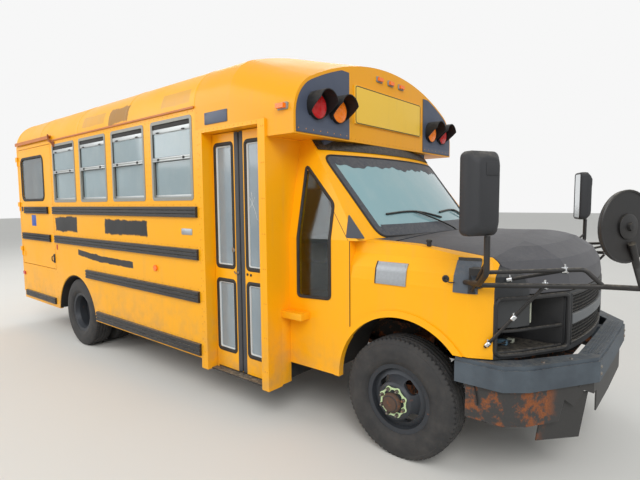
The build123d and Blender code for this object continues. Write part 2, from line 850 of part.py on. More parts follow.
def cap_form(inset):
    back = body_run(seam, blend_x, inset, cap_floor)
    sections = [body_section(blend_x, inset, cap_floor), cap_section(front_x - inset, inset, cap_floor)]
    return back + loft(sections, ruled=True)


cap = cap_form(0) - cap_form(cap_wall)
cap = cap - block(seam - 1, at(right_front_reach), -half - 1, 0, 0, cap_side_z)
cap = cap - block(seam - 1, at(left_front_reach), 0, half + 1, 0, cap_side_z)
soffit = block(at(right_front_reach) - wall, front_x + 1, -half, half, soffit_z, soffit_z + cap_wall)
soffit = soffit + block(at(left_front_reach), at(right_front_reach), cab_top_half_width - 60, half, soffit_z, soffit_z + cap_wall)
cap = cap + (soffit & cap_form(0))
nodes["front_cap"] = cap

# Entrance portal: posts and header round the two leaves
portal = block(seam, at(right_front_reach), -half, jamb_inner_y, entry_bottom_z, cap_side_z)
portal = portal - block(at(entry_back_reach), at(entry_front_reach), -half - 1, jamb_inner_y + 1, 0, entry_head_z)
portal = portal + block(at(right_front_reach) - wall, at(right_front_reach), jamb_inner_y, -cab_top_half_width + 70, 760, soffit_z)
portal = portal - cab_form(0) - cap
stairs = stairs - portal
nodes["body_floor"] = nodes["body_floor"] - portal - cab_form(0)
left_bulkhead = block(at(left_front_reach) - wall, at(left_front_reach), cab_top_half_width - 60, half - wall, skirt_z, soffit_z + 120)
left_bulkhead = left_bulkhead - cap - nodes["body_floor"] - left_wall - cab_form(0)
nodes["side_wall_left"] = left_wall + left_bulkhead

# Entrance leaves
leaf_outer_y = -half + entry_recess
leaf_inner_y = leaf_outer_y + leaf_depth
mid_x = (at(entry_front_reach) + at(entry_back_reach)) / 2
leaf_low = entry_bottom_z + 14 + step_sheet
leaf_high = entry_head_z - leaf_gap
leaf_table = [("front", at(entry_front_reach) - leaf_gap, 1), ("rear", at(entry_back_reach) + leaf_gap, -1)]
entry_panes = [(455, 1010), (1130, 2075)]
pivot_inset = 8
pivots = Part()
for name, hinge_x, side in leaf_table:
    edge_x = mid_x + side * (leaf_meeting_gap / 2)
    rigid_x = edge_x + side * leaf_rubber
    x0, x1 = min(rigid_x, hinge_x), max(rigid_x, hinge_x)
    leaf = block(x0, x1, leaf_outer_y, leaf_inner_y, leaf_low, leaf_high)
    leaf_glass = Part()
    for z0, z1 in entry_panes:
        leaf = leaf - pane(x0 + 32, x1 - 32, z0, z1, leaf_outer_y - 5, leaf_inner_y + 5, 22)
        leaf_glass = leaf_glass + pane(x0 + 32, x1 - 32, z0, z1, leaf_outer_y + 12, leaf_outer_y + 12 + glass_depth, 22)
    rubber = block(min(edge_x, rigid_x), max(edge_x, rigid_x), leaf_outer_y + 6, leaf_inner_y - 6, leaf_low, leaf_high)
    axis_x = hinge_x - side * pivot_inset
    pivots = pivots + Pos(axis_x, leaf_outer_y, (leaf_high + seat + entry_head_z) / 2) * Cylinder(
        7, entry_head_z - leaf_high - seat
    )
    pivots = pivots + Pos(axis_x, leaf_outer_y, (leaf_low - seat + ground_step_z) / 2) * Cylinder(
        7, leaf_low - seat - ground_step_z
    )
    nodes[f"entry_leaf_{name}"] = leaf + rubber
    nodes[f"entry_glass_{name}"] = leaf_glass
nodes["step_well"] = stairs
post_cut = block(seam - 1, at(right_front_reach) + 1, -half - 1, 0, 0, entry_head_z)
header = portal - post_cut
posts = portal & post_cut
nodes["entry_portal"] = Compound(children=posts.solids() + header.solids() + pivots.solids())

# Lift door
lift_low = lift_sill_z + door_gap
lift_high = lift_head_z - door_gap
lift_door = block(lift_x0 + door_gap, lift_x1 - door_gap, -half, -half + wall, lift_low, lift_high)
glass_x0 = at(lift_window_back_reach)
glass_x1 = at(lift_window_front_reach)
lift_door = lift_door - pane(glass_x0, glass_x1, lift_window_sill_z, lift_window_head_z, -half - 5, -half + 60, 70)
lift_glass = pane(glass_x0, glass_x1, lift_window_sill_z, lift_window_head_z, -half + 8, -half + 8 + glass_depth, 70)


def rub_rail(x0, x1, z0, z1):
    band = (z1 - z0) / 3
    outline = [
        (-half, z0),
        (-half - rail_depth, z0 + rail_edge),
        (-half - rail_depth, z0 + band - rail_edge),
        (-half - rail_depth + rail_groove, z0 + band),
        (-half - rail_depth, z0 + band + rail_edge),
        (-half - rail_depth, z0 + 2 * band - rail_edge),
        (-half - rail_depth + rail_groove, z0 + 2 * band),
        (-half - rail_depth, z0 + 2 * band + rail_edge),
        (-half - rail_depth, z1 - rail_edge),
        (-half, z1),
    ]
    return front_slab(outline, x0, x1)


rail_table = [
    ("right", -4665, -1680, 1510, 1600),
    ("right", -4565, -1680, 1165, 1256),
    ("right", -3750, -1680, 817, 911),
    ("right", -3540, -1680, 378, 478),
    ("right", -5640, -4645, 400, 478),
    ("left", -5700, -1330, 1510, 1600),
    ("left", -5700, -1330, 1165, 1256),
    ("left", -3750, -1330, 817, 911),
    ("left", -3540, -1330, 378, 478),
    ("left", -5640, -4645, 400, 478),
]
rails = Part()
for place, back, front, z0, z1 in rail_table:
    if place == "right" and z1 > lift_sill_z:
        back = max(back, lift_front_reach + 12)
    rail = rub_rail(at(back), at(front), z0, z1)
    rails = rails + (rail if place == "right" else swapped(rail))
lift_rails = rub_rail(glass_x0 + 60, lift_x1 - 150, 1510, 1600)
lift_rails = lift_rails + rub_rail(lift_x0 + 60, lift_x1 - 110, 1165, 1256)
lift_axis_x = lift_x0 + door_gap / 2
lift_axis_y = -half - hinge_stand
hinge_height = 60
lift_hinges = Part()
for z in (1000, 1600, 2200):
    moving, fixed = hinge_pair(lift_axis_x, lift_axis_y, z, (1, 0), (0, 1))
    lift_door = lift_door + moving
    lift_hinges = lift_hinges + fixed
right_wall = right_wall + lift_hinges
nodes["side_wall_right"] = right_wall
lift_door = lift_door + lift_rails
nodes["lift_door"] = lift_door
nodes["lift_door_glass"] = lift_glass

# Drip rails over the windows and the lift door
drip = block(at(-4620), seam, -half - 14, -half, wall_top_z - 4, wall_top_z + 10)
drip = drip + swapped(block(at(-5700), seam, -half - 14, -half, wall_top_z - 4, wall_top_z + 10))
header = block(at(lift_back_reach), at(-4560), -half - 26, -half + 60, 2428, 2440)
header = header + block(at(lift_back_reach), at(-4560), -half - 26, -half - 20, 2400, 2428)
drip = (drip + header) - body_run(wall_back, seam, 0, skirt_z)
nodes["rub_rails"] = rails + drip

# Rear bumper and its arms
bumper_low = 450
bumper_high = 620
rear_x = at(rear_reach)
rear_bumper = block(rear_x, rear_face, -half + 25, half - 25, bumper_low, bumper_high)
rear_bumper = fillet(rear_bumper.edges().filter_by(Axis.Z).sort_by(Axis.X)[:2], 30)
cavity = block(rear_x + 8, rear_face, -half + 33, half - 33, bumper_low + 8, bumper_high - 8)
rear_bumper = rear_bumper - cavity
for side in (1, -1):
    rear_bumper = rear_bumper + block(rear_x + 8, rail_back, side * rail_y, side * (rail_y + rail_web), 570, 610)
plate_holes = [(-89, 560), (89, 560)]
for y, z in plate_holes:
    rear_bumper = rear_bumper - Pos(rear_x, y, z) * Rot(0, 90, 0) * Cylinder(4, 60)
nodes["rear_bumper"] = rear_bumper - rear_wall - frame

# Cab shell, windshield and fixed side window
outer_cab = cab_form(0)
inner_cab = cab_form(cab_skin)
cab = outer_cab - inner_cab
cab = cab - block(at(left_front_reach) - 1, at(right_front_reach), -half, cab_top_half_width - 130, 0, soffit_z + 1)
cab = cab - block(at(left_front_reach) - 1, at(left_front_reach) + cab_skin, -half, cab_top_half_width - 60, 0, soffit_z + 1)
inner_side = cab_half_width - cab_skin
cab = cab - block(at(left_front_reach) - 1, at(fender_seam_reach) + 1, -inner_side, inner_side, 0, cab_floor_z - 25)
wheel_well = Rot(90, 0, 0) * Cylinder(front_arch_radius + wheel_room, 2 * inner_side)
wheel_well = Pos(front_axle_x + front_arch_lead, 0, front_arch_z) * wheel_well
arch_cut = Rot(90, 0, 0) * Cylinder(front_arch_radius, 2 * half + 400)
arch_cut = Pos(front_axle_x + front_arch_lead, 0, front_arch_z) * arch_cut
cab = cab - wheel_well - arch_cut
shield_hole = [(-windshield_foot_half, windshield_foot_z), (windshield_foot_half, windshield_foot_z)]
shield_hole += [(windshield_top_half, windshield_top_z), (-windshield_top_half, windshield_top_z)]
shield_cut = front_slab(shield_hole, at(-850), at(0), 70)
cab = cab - shield_cut
windshield = (outer_cab - cab_form(pane_depth)) & shield_cut
panes = panes + windshield
firewall_hole = block(at(fender_seam_reach) - 60, at(fender_seam_reach) + 10, -300, 250, 560, 1060)
cab = cab - firewall_hole
side_window = [(-806, 950), (-800, 1892), (-512, 1612), (-512, 964)]
side_outline = [(at(x), z) for x, z in side_window]
side_cut = side_slab(side_outline, -half, -cab_top_half_width + 120, 26)
cab = cab - side_cut
side_glass = (outer_cab - cab_form(pane_depth)) & side_cut
panes = panes + side_glass
door_front = fender_seam_reach - 15
door_back = left_front_reach + 60
door_top_z = 1985
door_front_top = pillar_reach(door_top_z, -345)
driver_outline = [
    (door_back, cab_sill_z + 30),
    (door_front, cab_sill_z + 30),
    (door_front, belt_z + 20),
    (door_front_top, door_top_z),
    (door_back, door_top_z),
]
driver_hole = side_slab([(at(x), z) for x, z in driver_outline], cab_top_half_width - 160, half)
cab = cab - driver_hole - nodes["front_cap"] - portal - left_bulkhead
rear_clearance = 16
door_face = [
    (door_back + rear_clearance, cab_sill_z + 30 + door_gap),
    (door_front - door_front_gap, cab_sill_z + 30 + door_gap),
    (door_front - door_front_gap, belt_z + 18),
    (door_front_top - door_gap - 2, door_top_z - door_gap),
    (door_back + rear_clearance, door_top_z - door_gap),
]
door_region = side_slab([(at(x), z) for x, z in door_face], cab_top_half_width - 160, half)
door_depth = 60
sides_x = (at(left_front_reach) - 200, at(cowl_reach) + 100)
driver_door = (outer_cab - cab_run(door_depth, *sides_x)) & door_region
door_window = [
    (door_back + 75, belt_z + 45),
    (door_front - 180, belt_z + 45),
    (pillar_reach(1890, -430), 1890),
    (door_back + 75, 1890),
]
window_cut = side_slab([(at(x), z) for x, z in door_window], cab_top_half_width - 160, half, 30)
driver_door = driver_door - window_cut - arch_cut - wheel_well
driver_glass = (cab_run(20, *sides_x) - cab_run(20 + glass_depth, *sides_x)) & window_cut
driver_door = driver_door + block(at(door_back) + 70, at(door_back) + 210, cab_half_width, cab_half_width + 18, 1215, 1250)
door_axis_x = at(door_front - door_front_gap)
door_axis_y = cab_half_width - 8
door_pins = Part()
for z in (1000, 1290):
    notch = Pos(door_axis_x, door_axis_y, z + 31) * Cylinder(hinge_radius + 6, 74)
    driver_door = driver_door - notch
    moving = Pos(door_axis_x, door_axis_y, z - 18) * Cylinder(6, 36)
    fixed = Pos(door_axis_x, door_axis_y, z + seat + 30) * Cylinder(6, 60)
    fixed = fixed + block(door_axis_x, at(door_front) + 1, door_axis_y - 4, door_axis_y + 4, z + seat, z + 60)
    notch_floor = Pos(door_axis_x, door_axis_y, z - 3) * Cylinder(hinge_radius + 6, 6)
    driver_door = driver_door + moving
    door_pins = door_pins + fixed
cab = cab + (door_pins - driver_door)
nodes["driver_door_glass"] = driver_glass

# Hood and fenders from one form
outer_front = front_form(0)
inner_front = front_form(hood_skin)
shell = outer_front - inner_front
cowl_x = at(cowl_reach) + 38
cowl_gap = 24


def hood_plan(gap):
    side = hood_half_width + gap
    points = [
        (cowl_x, -side),
        (at(lamp_corner_reach) - 100, -side),
        (at(lamp_corner_reach) + 40, -lamp_corner_y + 60 - gap),
        (at(nose_reach) + 60, -nose_corner_y + 60),
        (at(nose_reach) + 60, nose_corner_y - 60),
        (at(lamp_corner_reach) + 40, lamp_corner_y - 60 + gap),
        (at(lamp_corner_reach) - 100, side),
        (cowl_x, side),
    ]
    return plan_slab(points, hood_lip_z - gap, 1600)


hood = shell & hood_plan(0)
fenders = shell - hood_plan(hood_gap)
side_gap = hood_half_width + hood_gap
fenders = fenders - block(cowl_x - cowl_gap, cowl_x + 1, -side_gap, side_gap, belt_z - 60, 1700)
fenders = fenders - arch_cut
low_front = block(at(front_arch_lead), at(nose_reach) + 50, -half, half, 0, nose_bottom_z)
fenders = fenders - low_front
fenders = fenders - block(at(fender_seam_reach) - 1, at(nose_reach) + 50, -700, 700, 0, cab_sill_z + hood_skin)
grille_y = nose_corner_y - 25
grille_z0 = nose_bottom_z + 25
grille_z1 = hood_lip_z - 22
grille_cut = block(at(700), at(nose_reach) + 50, -grille_y, grille_y, grille_z0, grille_z1)
fenders = fenders - grille_cut
lamp_z0 = 778
lamp_z1 = 1092
lamp_y0 = nose_corner_y + 5
lamp_y1 = fender_front_y - 5
for side in (1, -1):
    lamp_cut = block(at(500), at(nose_reach) + 50, side * lamp_y0, side * lamp_y1, lamp_z0, lamp_z1)
    fenders = fenders - lamp_cut
outer_arch = Cylinder(front_arch_radius + flare_width, 2 * (fender_half_width + flare_depth))
inner_arch = Cylinder(front_arch_radius, 4 * half)
flare = Pos(front_axle_x + front_arch_lead, 0, front_arch_z) * Rot(90, 0, 0) * (outer_arch - inner_arch)
flare = flare - block(at(-1500), at(1500), -fender_half_width, fender_half_width, 0, 3000)
flare = flare - block(at(-1500), at(1500), -half - 50, half + 50, -500, cab_sill_z)
flare = flare - block(at(330), at(1500), -half - 50, half + 50, 0, nose_bottom_z)
door_flare = flare & block(at(-700), door_axis_x - 18, half - 400, half, cab_sill_z + 30 + door_gap, 1200)
nodes["driver_door"] = driver_door + door_flare
flare = flare - block(at(-700), at(fender_seam_reach), 0, half, 0, 1200)
fenders = fenders + flare
fenders = fenders - outer_cab
hood_axis_x = cowl_x + 25
hood_axis_z = 1372
hood_ears = Part()
hood_brackets = Part()
for side in (1, -1):
    ear = rod((hood_axis_x, side * 300, hood_axis_z), (hood_axis_x, side * 330, hood_axis_z), 10)
    ear = ear + block(hood_axis_x, hood_axis_x + 60, side * 300, side * 330, hood_axis_z - 10, hood_axis_z + 24)
    hood_ears = hood_ears + ear
    bracket = side_slab(
        [
            (hood_axis_x - 4, hood_axis_z - 3),
            (hood_axis_x + 6, hood_axis_z - 3),
            (hood_axis_x + 12, 1262),
            (at(fender_seam_reach), 1222),
            (at(fender_seam_reach), 1282),
            (hood_axis_x - 6, hood_axis_z - 45),
        ],
        min(side * (330 + seat), side * 340),
        max(side * (330 + seat), side * 340),
    )
    hood_brackets = hood_brackets + bracket
hood_ears = hood_ears & (outer_front - shell)
hood = (hood + hood_ears) - cab_form(-hood_gap)
hood_brackets = hood_brackets - outer_cab - shell
nodes["hood"] = hood
nose_cut = block(at(nose_panel_reach), at(nose_reach) + 50, -half, half, 0, 1700)
cowl_cut = block(at(fender_seam_reach) - 200, cowl_x + 2, -side_gap, side_gap, belt_z - 150, 1700)
cowl_panel = fenders & cowl_cut
nose_panel = (fenders & nose_cut) - cowl_cut
wings = fenders - nose_cut - cowl_cut
nodes["fender_left"] = wings & block(at(-1500), at(1500), 0, half, 0, 1700)
nodes["fender_right"] = wings & block(at(-1500), at(1500), -half, 0, 0, 1700)
nodes["nose_panel"] = nose_panel
nodes["cowl_panel"] = cowl_panel + hood_brackets
cab = cab - fenders - arch_cut
nodes["cab_shell"] = cab

# Grille, with its frame, middle bar and mesh
grille_form = (outer_front - front_form(30)) & grille_cut
mid_low = 905
mid_high = 965
grille = grille_form
for z0, z1 in ((grille_z0 + 16, mid_low), (mid_high, grille_z1 - 16)):
    grille = grille - block(at(700), at(nose_reach) + 50, -grille_y + 16, grille_y - 16, z0, z1)
mesh_form = (front_form(10) - front_form(22)) & grille_cut
mesh = Part()
cell = 46
bar = 5
rows = [(grille_z0 + 16, mid_low), (mid_high, grille_z1 - 16)]
for z0, z1 in rows:
    count = int((2 * grille_y - 32) // cell)
    strips = Part()
    for step in range(1, count + 1):
        y = -grille_y + 16 + step * (2 * grille_y - 32) / (count + 1)
        strips = strips + block(at(750), at(nose_reach) + 20, y - bar / 2, y + bar / 2, z0, z1)
    middle = (z0 + z1) / 2
    strips = strips + block(at(750), at(nose_reach) + 20, -grille_y + 16, grille_y - 16, middle - bar / 2, middle + bar / 2)
    mesh = mesh + (mesh_form & strips)
nodes["grille"] = grille + mesh

# Headlamps: an open bucket each side, a lens on the driver's side only
buckets = Part()
for side in (1, -1):
    opening = block(at(480), at(nose_reach) + 50, side * lamp_y0, side * lamp_y1, lamp_z0, lamp_z1)
    hollow = block(at(492), at(nose_reach) + 50, side * (lamp_y0 + 8), side * (lamp_y1 - 8), lamp_z0 + 8, lamp_z1 - 8)
    bucket = (opening & inner_front) - hollow
    shelf = block(at(492), at(640), side * (lamp_y0 + 8), side * (lamp_y1 - 8), 900, 910)
    shelf = shelf & inner_front
    buckets = buckets + bucket + shelf
lens = (outer_front - front_form(14)) & block(at(480), at(nose_reach) + 50, lamp_y0, lamp_y1, lamp_z0, lamp_z1)
nodes["headlamp_buckets"] = buckets
nodes["headlamp_left"] = lens - buckets

# Front bumper: bent band with a step on top, and the lower valance
def bumper_band(outer_inset, inner_inset, z0, z1):
    faces = []
    for inset in (outer_inset, inner_inset):
        points = [
            (at(bumper_end_reach), -bumper_half_width + inset),
            (at(bumper_corner_reach) - 110 - inset * 0.4, -bumper_half_width + inset),
            (at(bumper_corner_reach) - inset * 0.7, -bumper_corner_y + inset * 0.7),
            (at(bumper_crease_reach) - inset, -bumper_crease_y),
            (at(bumper_front_reach) - inset, 0),
            (at(bumper_crease_reach) - inset, bumper_crease_y),
            (at(bumper_corner_reach) - inset * 0.7, bumper_corner_y - inset * 0.7),
            (at(bumper_corner_reach) - 110 - inset * 0.4, bumper_half_width - inset),
            (at(bumper_end_reach), bumper_half_width - inset),
        ]
        faces.append(plan_slab(points, z0, z1))
    return faces[0] - faces[1]


bumper = bumper_band(0, bumper_skin, bumper_bottom_z, bumper_face_z)
bumper = bumper + bumper_band(0, bumper_fold + bumper_skin, bumper_face_z - bumper_skin, bumper_face_z)
bumper = bumper + bumper_band(bumper_fold, bumper_fold + bumper_skin, bumper_face_z - bumper_skin, bumper_top_z)
bumper = bumper + bumper_band(bumper_fold, bumper_step, bumper_top_z - bumper_skin, bumper_top_z)
bumper = bumper + bumper_band(0, 40, bumper_bottom_z, bumper_bottom_z + bumper_skin)
for side in (1, -1):
    arm = block(rail_front, at(bumper_crease_reach) - bumper_skin, side * rail_y, side * (rail_y + rail_web), bumper_bottom_z, 700)
    bumper = bumper + arm
front_plate_z = 670
for y in (-89, 89):
    bumper = bumper - Pos(at(bumper_front_reach), y, front_plate_z) * Rot(0, 90, 0) * Cylinder(4, 80)
bumper = bumper - frame
nodes["front_bumper"] = bumper
valance = bumper_band(26, 34, valance_bottom_z, bumper_bottom_z)
valance = valance - block(at(300), at(440), -half, half, 0, 1000)
torn = [(at(862), 400), (at(885), 530), (at(925), 480), (at(960), 565), (at(1050), 500), (at(1050), 400)]
valance = valance - side_slab(torn, -half, -420)
hanging = block(-4, 4, -150, 150, -140, 140)
hanging = Pos(at(865), -625, 415) * Rot(0, 8, -34) * hanging
hanging = hanging + rod((at(900), -585, 520), (at(948), -585, bumper_bottom_z + 4), 9)
hanging = hanging - valance - bumper
valance = valance + hanging
nodes["bumper_valance"] = valance

# Lamps on the cap, with visors, and small marker lamps
lamp_table = [(-963.5, "red"), (-729, "amber"), (729, "amber"), (963.5, "red")]
lamp_z = 2279
lamp_radius = 89
panel_depth = 6
panels = Part()
lamps = Part()
visors = Part()
for side in (1, -1):
    outline = cap_section(front_x, 22, soffit_z + 12)
    plate = extrude(outline, amount=panel_depth, dir=(1, 0, 0))
    plate = plate & block(front_x, front_x + 50, side * 585, side * half, soffit_z + 12, 2580)
    panels = panels + plate
for y, colour in lamp_table:
    face_x = front_x + panel_depth
    lamps = lamps + rod((face_x, y, lamp_z), (face_x + 38, y, lamp_z), lamp_radius)
    outer = rod((face_x, y, lamp_z), (face_x + 120, y, lamp_z), lamp_radius + 14)
    bore = rod((face_x, y, lamp_z), (face_x + 130, y, lamp_z), lamp_radius + 8)
    hood_cut = side_slab([(face_x, lamp_z - 70), (face_x + 130, lamp_z + 40), (face_x + 130, lamp_z - 200), (face_x, lamp_z - 200)], y - 200, y + 200)
    visors = visors + (outer - bore - hood_cut)
rear_lamp_y = [(-960, 2470), (-700, 2530), (700, 2530), (960, 2470)]
for y, z in rear_lamp_y:
    lamps = lamps + rod((rear_face - 36, y, z), (rear_face, y, z), lamp_radius)
nodes["warning_lamps"] = lamps
sign = block(front_x, front_x + 14, -515, 515, 2220, 2505)
sign = sign + block(rear_face - 14, rear_face, -440, 440, 2350, 2560)
nodes["blank_signs"] = sign
markers = Part()
for y in (-170, 0, 170):
    markers = markers + block(front_x, front_x + 26, y - 32, y + 32, 2595, 2622)
for side in (1, -1):
    markers = markers + block(at(-770), at(-700), side * (half - 30), side * (half + 14), 2245, 2275)
    markers = markers + rod((at(-2330), side * half, 1050), (at(-2330), side * (half + 16), 1050), 26)
    markers = markers + block(at(-5735), at(-5665), side * half, side * (half + 12), 680, 720)
    for z in (1150, 1330):
        markers = markers + rod((rear_face - 22, side * 960, z), (rear_face, side * 960, z), 78)
markers = markers - cap - right_wall - left_wall - rear_wall
nodes["marker_lamps"] = markers
header_bar = block(at(-780), at(-725), -780, 780, 2045, soffit_z) - outer_cab
nodes["cap_trim"] = panels + visors + header_bar

# Mirrors: arm, brace, bracket and head each side
head_x = 601
head_y = -1200
mast_x = head_x + 25
mast_y = head_y + 18
head_yaw = 25
head_width = 200
head_low_z = 1455
head_high_z = 1865
head_place = Pos(at(head_x), head_y, 0) * Rot(0, 0, -head_yaw)
mirror_head = block(-50, 50, -head_width / 2, head_width / 2, head_low_z, head_high_z)
mirror_head = fillet(mirror_head.edges(), 28)
glass_cut = block(-60, -40, 15 - head_width / 2, head_width / 2 - 15, head_low_z + 15, head_high_z - 15)
mirror_head = head_place * (mirror_head - glass_cut)
mirror_face = head_place * block(-46, -40, 15 - head_width / 2, head_width / 2 - 15, head_low_z + 15, head_high_z - 15)
bracket_back_reach = 375
bracket_front_reach = 500
bracket_depth = 8
bracket_y = -fender_half_width - bracket_depth
clamp_x = at(530)
bracket = front_form(-bracket_depth) & block(at(bracket_back_reach), at(bracket_front_reach), -half, -900, 1120, 1310)
for z in (1177, 1245):
    bracket = bracket + block(clamp_x - 60, clamp_x, bracket_y - 18, bracket_y + 50, z - 20, z + 20)
bracket = bracket - outer_front
fender_foot_x = (bracket_back_reach + bracket_front_reach) / 2
arm = tube(
    [
        (at(mast_x), mast_y, head_low_z + 15),
        (at(mast_x), mast_y, 1270),
        (at(mast_x) - 70, mast_y + 90, 1200),
        (at(fender_foot_x), bracket_y + 12, 1180),
    ],
    15,
    40,
)
brace = rod((at(mast_x), mast_y, 1330), (at(fender_foot_x) + 40, bracket_y + 5, 1140), 9)
mirror_arm = (arm + brace + bracket) - mirror_head - fenders
mirror_head = mirror_head + mirror_face
nodes["mirror_arms"] = mirror_arm + swapped(mirror_arm)
nodes["mirror_heads"] = mirror_head + swapped(mirror_head)

# Crossview mirrors ahead of the fenders
arm_radius = 13
stay_radius = 9
dome_radius = 130
dome_depth = 52
dome_swing = 60
dome_x = front_reach - dome_radius * cos(radians(dome_swing))
arm_x = dome_x + 31
upper = [
    (clamp_x + 2.6, bracket_y - 9, 1245),
    (at(1000), -900, 1290),
    (at(1075), -880, 1215),
]
lower = [
    (clamp_x + 2.6, bracket_y - 9, 1177),
    (at(1080), -880, 1212),
    (at(arm_x), -905, 1225),
    (at(arm_x), -1200, 1280),
    (at(arm_x) - 4, -1400, 1390),
    (at(arm_x) - 16, -1450, 1470),
]
crossview = tube(upper, 11, 40) + tube(lower, arm_radius, 40)
crossview = crossview + rod((at(915), -912, 1280), (at(628), -874, 1198), stay_radius)
crossview = crossview + rod((at(830), -926, 1195), (at(545), -960, 830), stay_radius)
dome_outline = [(0, 0), (dome_radius, 0), (dome_radius, -12)]
dome_edge = Polyline(*dome_outline)
dome_ball = (dome_radius**2 + dome_depth**2) / (2 * dome_depth)
dome_centre = dome_ball - 12 - dome_depth
dome_turn = radians(18)
dome_middle = (dome_ball * sin(dome_turn), dome_centre - dome_ball * cos(dome_turn))
dome_arc = ThreePointArc((dome_radius, -12), dome_middle, (0, -12 - dome_depth))
dome_face = make_face(dome_edge + dome_arc + Line((0, -12 - dome_depth), (0, 0)))
dome = revolve(dome_face, Axis.Y, 360)
dome = Pos(at(dome_x), -1450, 1530) * Rot(0, 0, -2 * dome_swing) * dome
crossview = crossview - dome
nodes["crossview_mirrors"] = Compound(children=[crossview, dome, swapped(crossview), swapped(dome)])

# Seats, dashboard and steering wheel
bench_reaches = [(-2150, 1), (-2870, 1), (-3590, 1), (-4310, 1), (-5030, 1), (-2300, -1), (-3060, -1), (-3820, -1)]
bench_inner = 290
cushion_z = floor_z + 330
benches = Part()
bench_legs = Part()
for reach, side in bench_reaches:
    y0 = side * bench_inner
    y1 = side * (inner_half - 12)
    cushion = block(at(reach) - 60, at(reach) + 330, y0, y1, cushion_z, cushion_z + 110)
    back = block(at(reach) - 160, at(reach) - 60, y0, y1, cushion_z, floor_z + 960)
    bench = fillet((cushion + back).edges().filter_by(Axis.Y), 24)
    benches = benches + bench
    for y in (y0 + side * 60, y1 - side * 60):
        leg = block(at(reach) - 100, at(reach) - 70, y - 15, y + 15, floor_z, cushion_z)
        leg = leg + block(at(reach) + 260, at(reach) + 290, y - 15, y + 15, floor_z, cushion_z)
        bench_legs = bench_legs + leg
door_inner = cab_half_width - 66
cab_floor = block(at(left_front_reach), at(fender_seam_reach) - cab_skin, -inner_side, door_inner, cab_floor_z - 25, cab_floor_z)
cab_floor = cab_floor - block(at(left_front_reach), at(right_front_reach), -half, well_y, 0, 900) - wheel_well
cover = block(at(-1000), at(fender_seam_reach) - cab_skin, -300, 190, cab_floor_z, 1060)
cover = fillet(cover.edges().filter_by(Axis.X).sort_by(Axis.Z)[-2:], 60)
cover = cover - block(at(-960), at(fender_seam_reach), -260, 150, cab_floor_z, 1020)
dash = side_slab(
    [
        (at(fender_seam_reach) - cab_skin, 1000),
        (at(-520), 1000),
        (at(-560), 1180),
        (at(-500), 1330),
        (at(fender_seam_reach) - cab_skin, belt_z - 25),
    ],
    -inner_side + 30,
    door_inner - 10,
)
dash = dash - cover
driver_y = 450
wheel_centre = (at(-760), driver_y, 1190)
column = rod((at(-520), driver_y, 1090), (at(-750), driver_y, 1186), 28)
ring_plane = Plane(origin=wheel_centre, z_dir=(-0.92, 0, 0.38))
steering = ring_plane * Torus(190, 14)
steering = steering + (ring_plane * Box(360, 34, 14)) + (ring_plane * Cylinder(52, 24))
steering = steering + (column - dash)
aisle_floor = nodes["body_floor"]
cab_floor = cab_floor - engine_block - aisle_floor
cover = cover - aisle_floor - engine_block
nodes["cab_interior"] = cab_floor + cover + dash
nodes["steering_wheel"] = steering
driver_seat = block(at(-1290), at(-880), driver_y - 240, driver_y + 240, 1000, 1110)
driver_back = block(at(-1390), at(-1280), driver_y - 240, driver_y + 240, 1000, 1760)
driver_seat = fillet((driver_seat + driver_back).edges().filter_by(Axis.Y), 30)
pedestal = block(at(-1240), at(-940), driver_y - 180, driver_y + 180, cab_floor_z, 1000)
nodes["seats"] = benches + driver_seat
nodes["seat_frames"] = bench_legs + (pedestal - cover - aisle_floor)
nodes["window_glass"] = panes

# Stop arm on the driver's side
stop_x = at(-1430)
stop_z = 1385
stop_y = half + rail_depth + 22
hinge_box = block(stop_x - 30, stop_x + 30, half, stop_y - 10, stop_z - 110, stop_z + 110)
for end in (1, -1):
    z0 = stop_z + end * (90 + seat)
    z1 = stop_z + end * 110
    hinge_box = hinge_box + block(stop_x - 8, stop_x + 8, stop_y - 10, stop_y + 2, *sorted((z0, z1)))
    hinge_box = hinge_box + Pos(stop_x, stop_y + 2, (z0 + z1) / 2) * Cylinder(hinge_radius, 20 - seat)
hinge_box = hinge_box - rails
nodes["rub_rails"] = Compound(children=nodes["rub_rails"].solids() + hinge_box.solids())
octagon = Plane(origin=(stop_x - 300, stop_y, stop_z), z_dir=(0, 1, 0)) * RegularPolygon(238, 8, rotation=22.5)
stop_sign = extrude(octagon, 5)
stop_sign = stop_sign + block(stop_x - 120, stop_x - 6, stop_y, stop_y + 5, stop_z - 60, stop_z + 60)
stop_sign = stop_sign + Pos(stop_x, stop_y + 2, stop_z) * Cylinder(8, 180)
nodes["stop_arm"] = stop_sign

os.makedirs("parts", exist_ok=True)
for name, shape in nodes.items():
    solids = shape.solids()
    export_step(Compound(children=list(solids)) if len(solids) > 1 else solids[0], f"parts/{name}.step")
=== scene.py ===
"""Looks of the short school bus: finishes for its frame, and the pieces that the frame leaves plain.

Everything is in metres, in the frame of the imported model: +X forward, +Y to the driver's side, +Z up.
A "reach" is a distance along X from the front axle, as in the part's source.
"""

import json
import logging
import math
from dataclasses import dataclass
from enum import Enum
from typing import Iterator, Sequence

import bmesh
import bpy
import numpy as np
from mathutils import Matrix, Vector

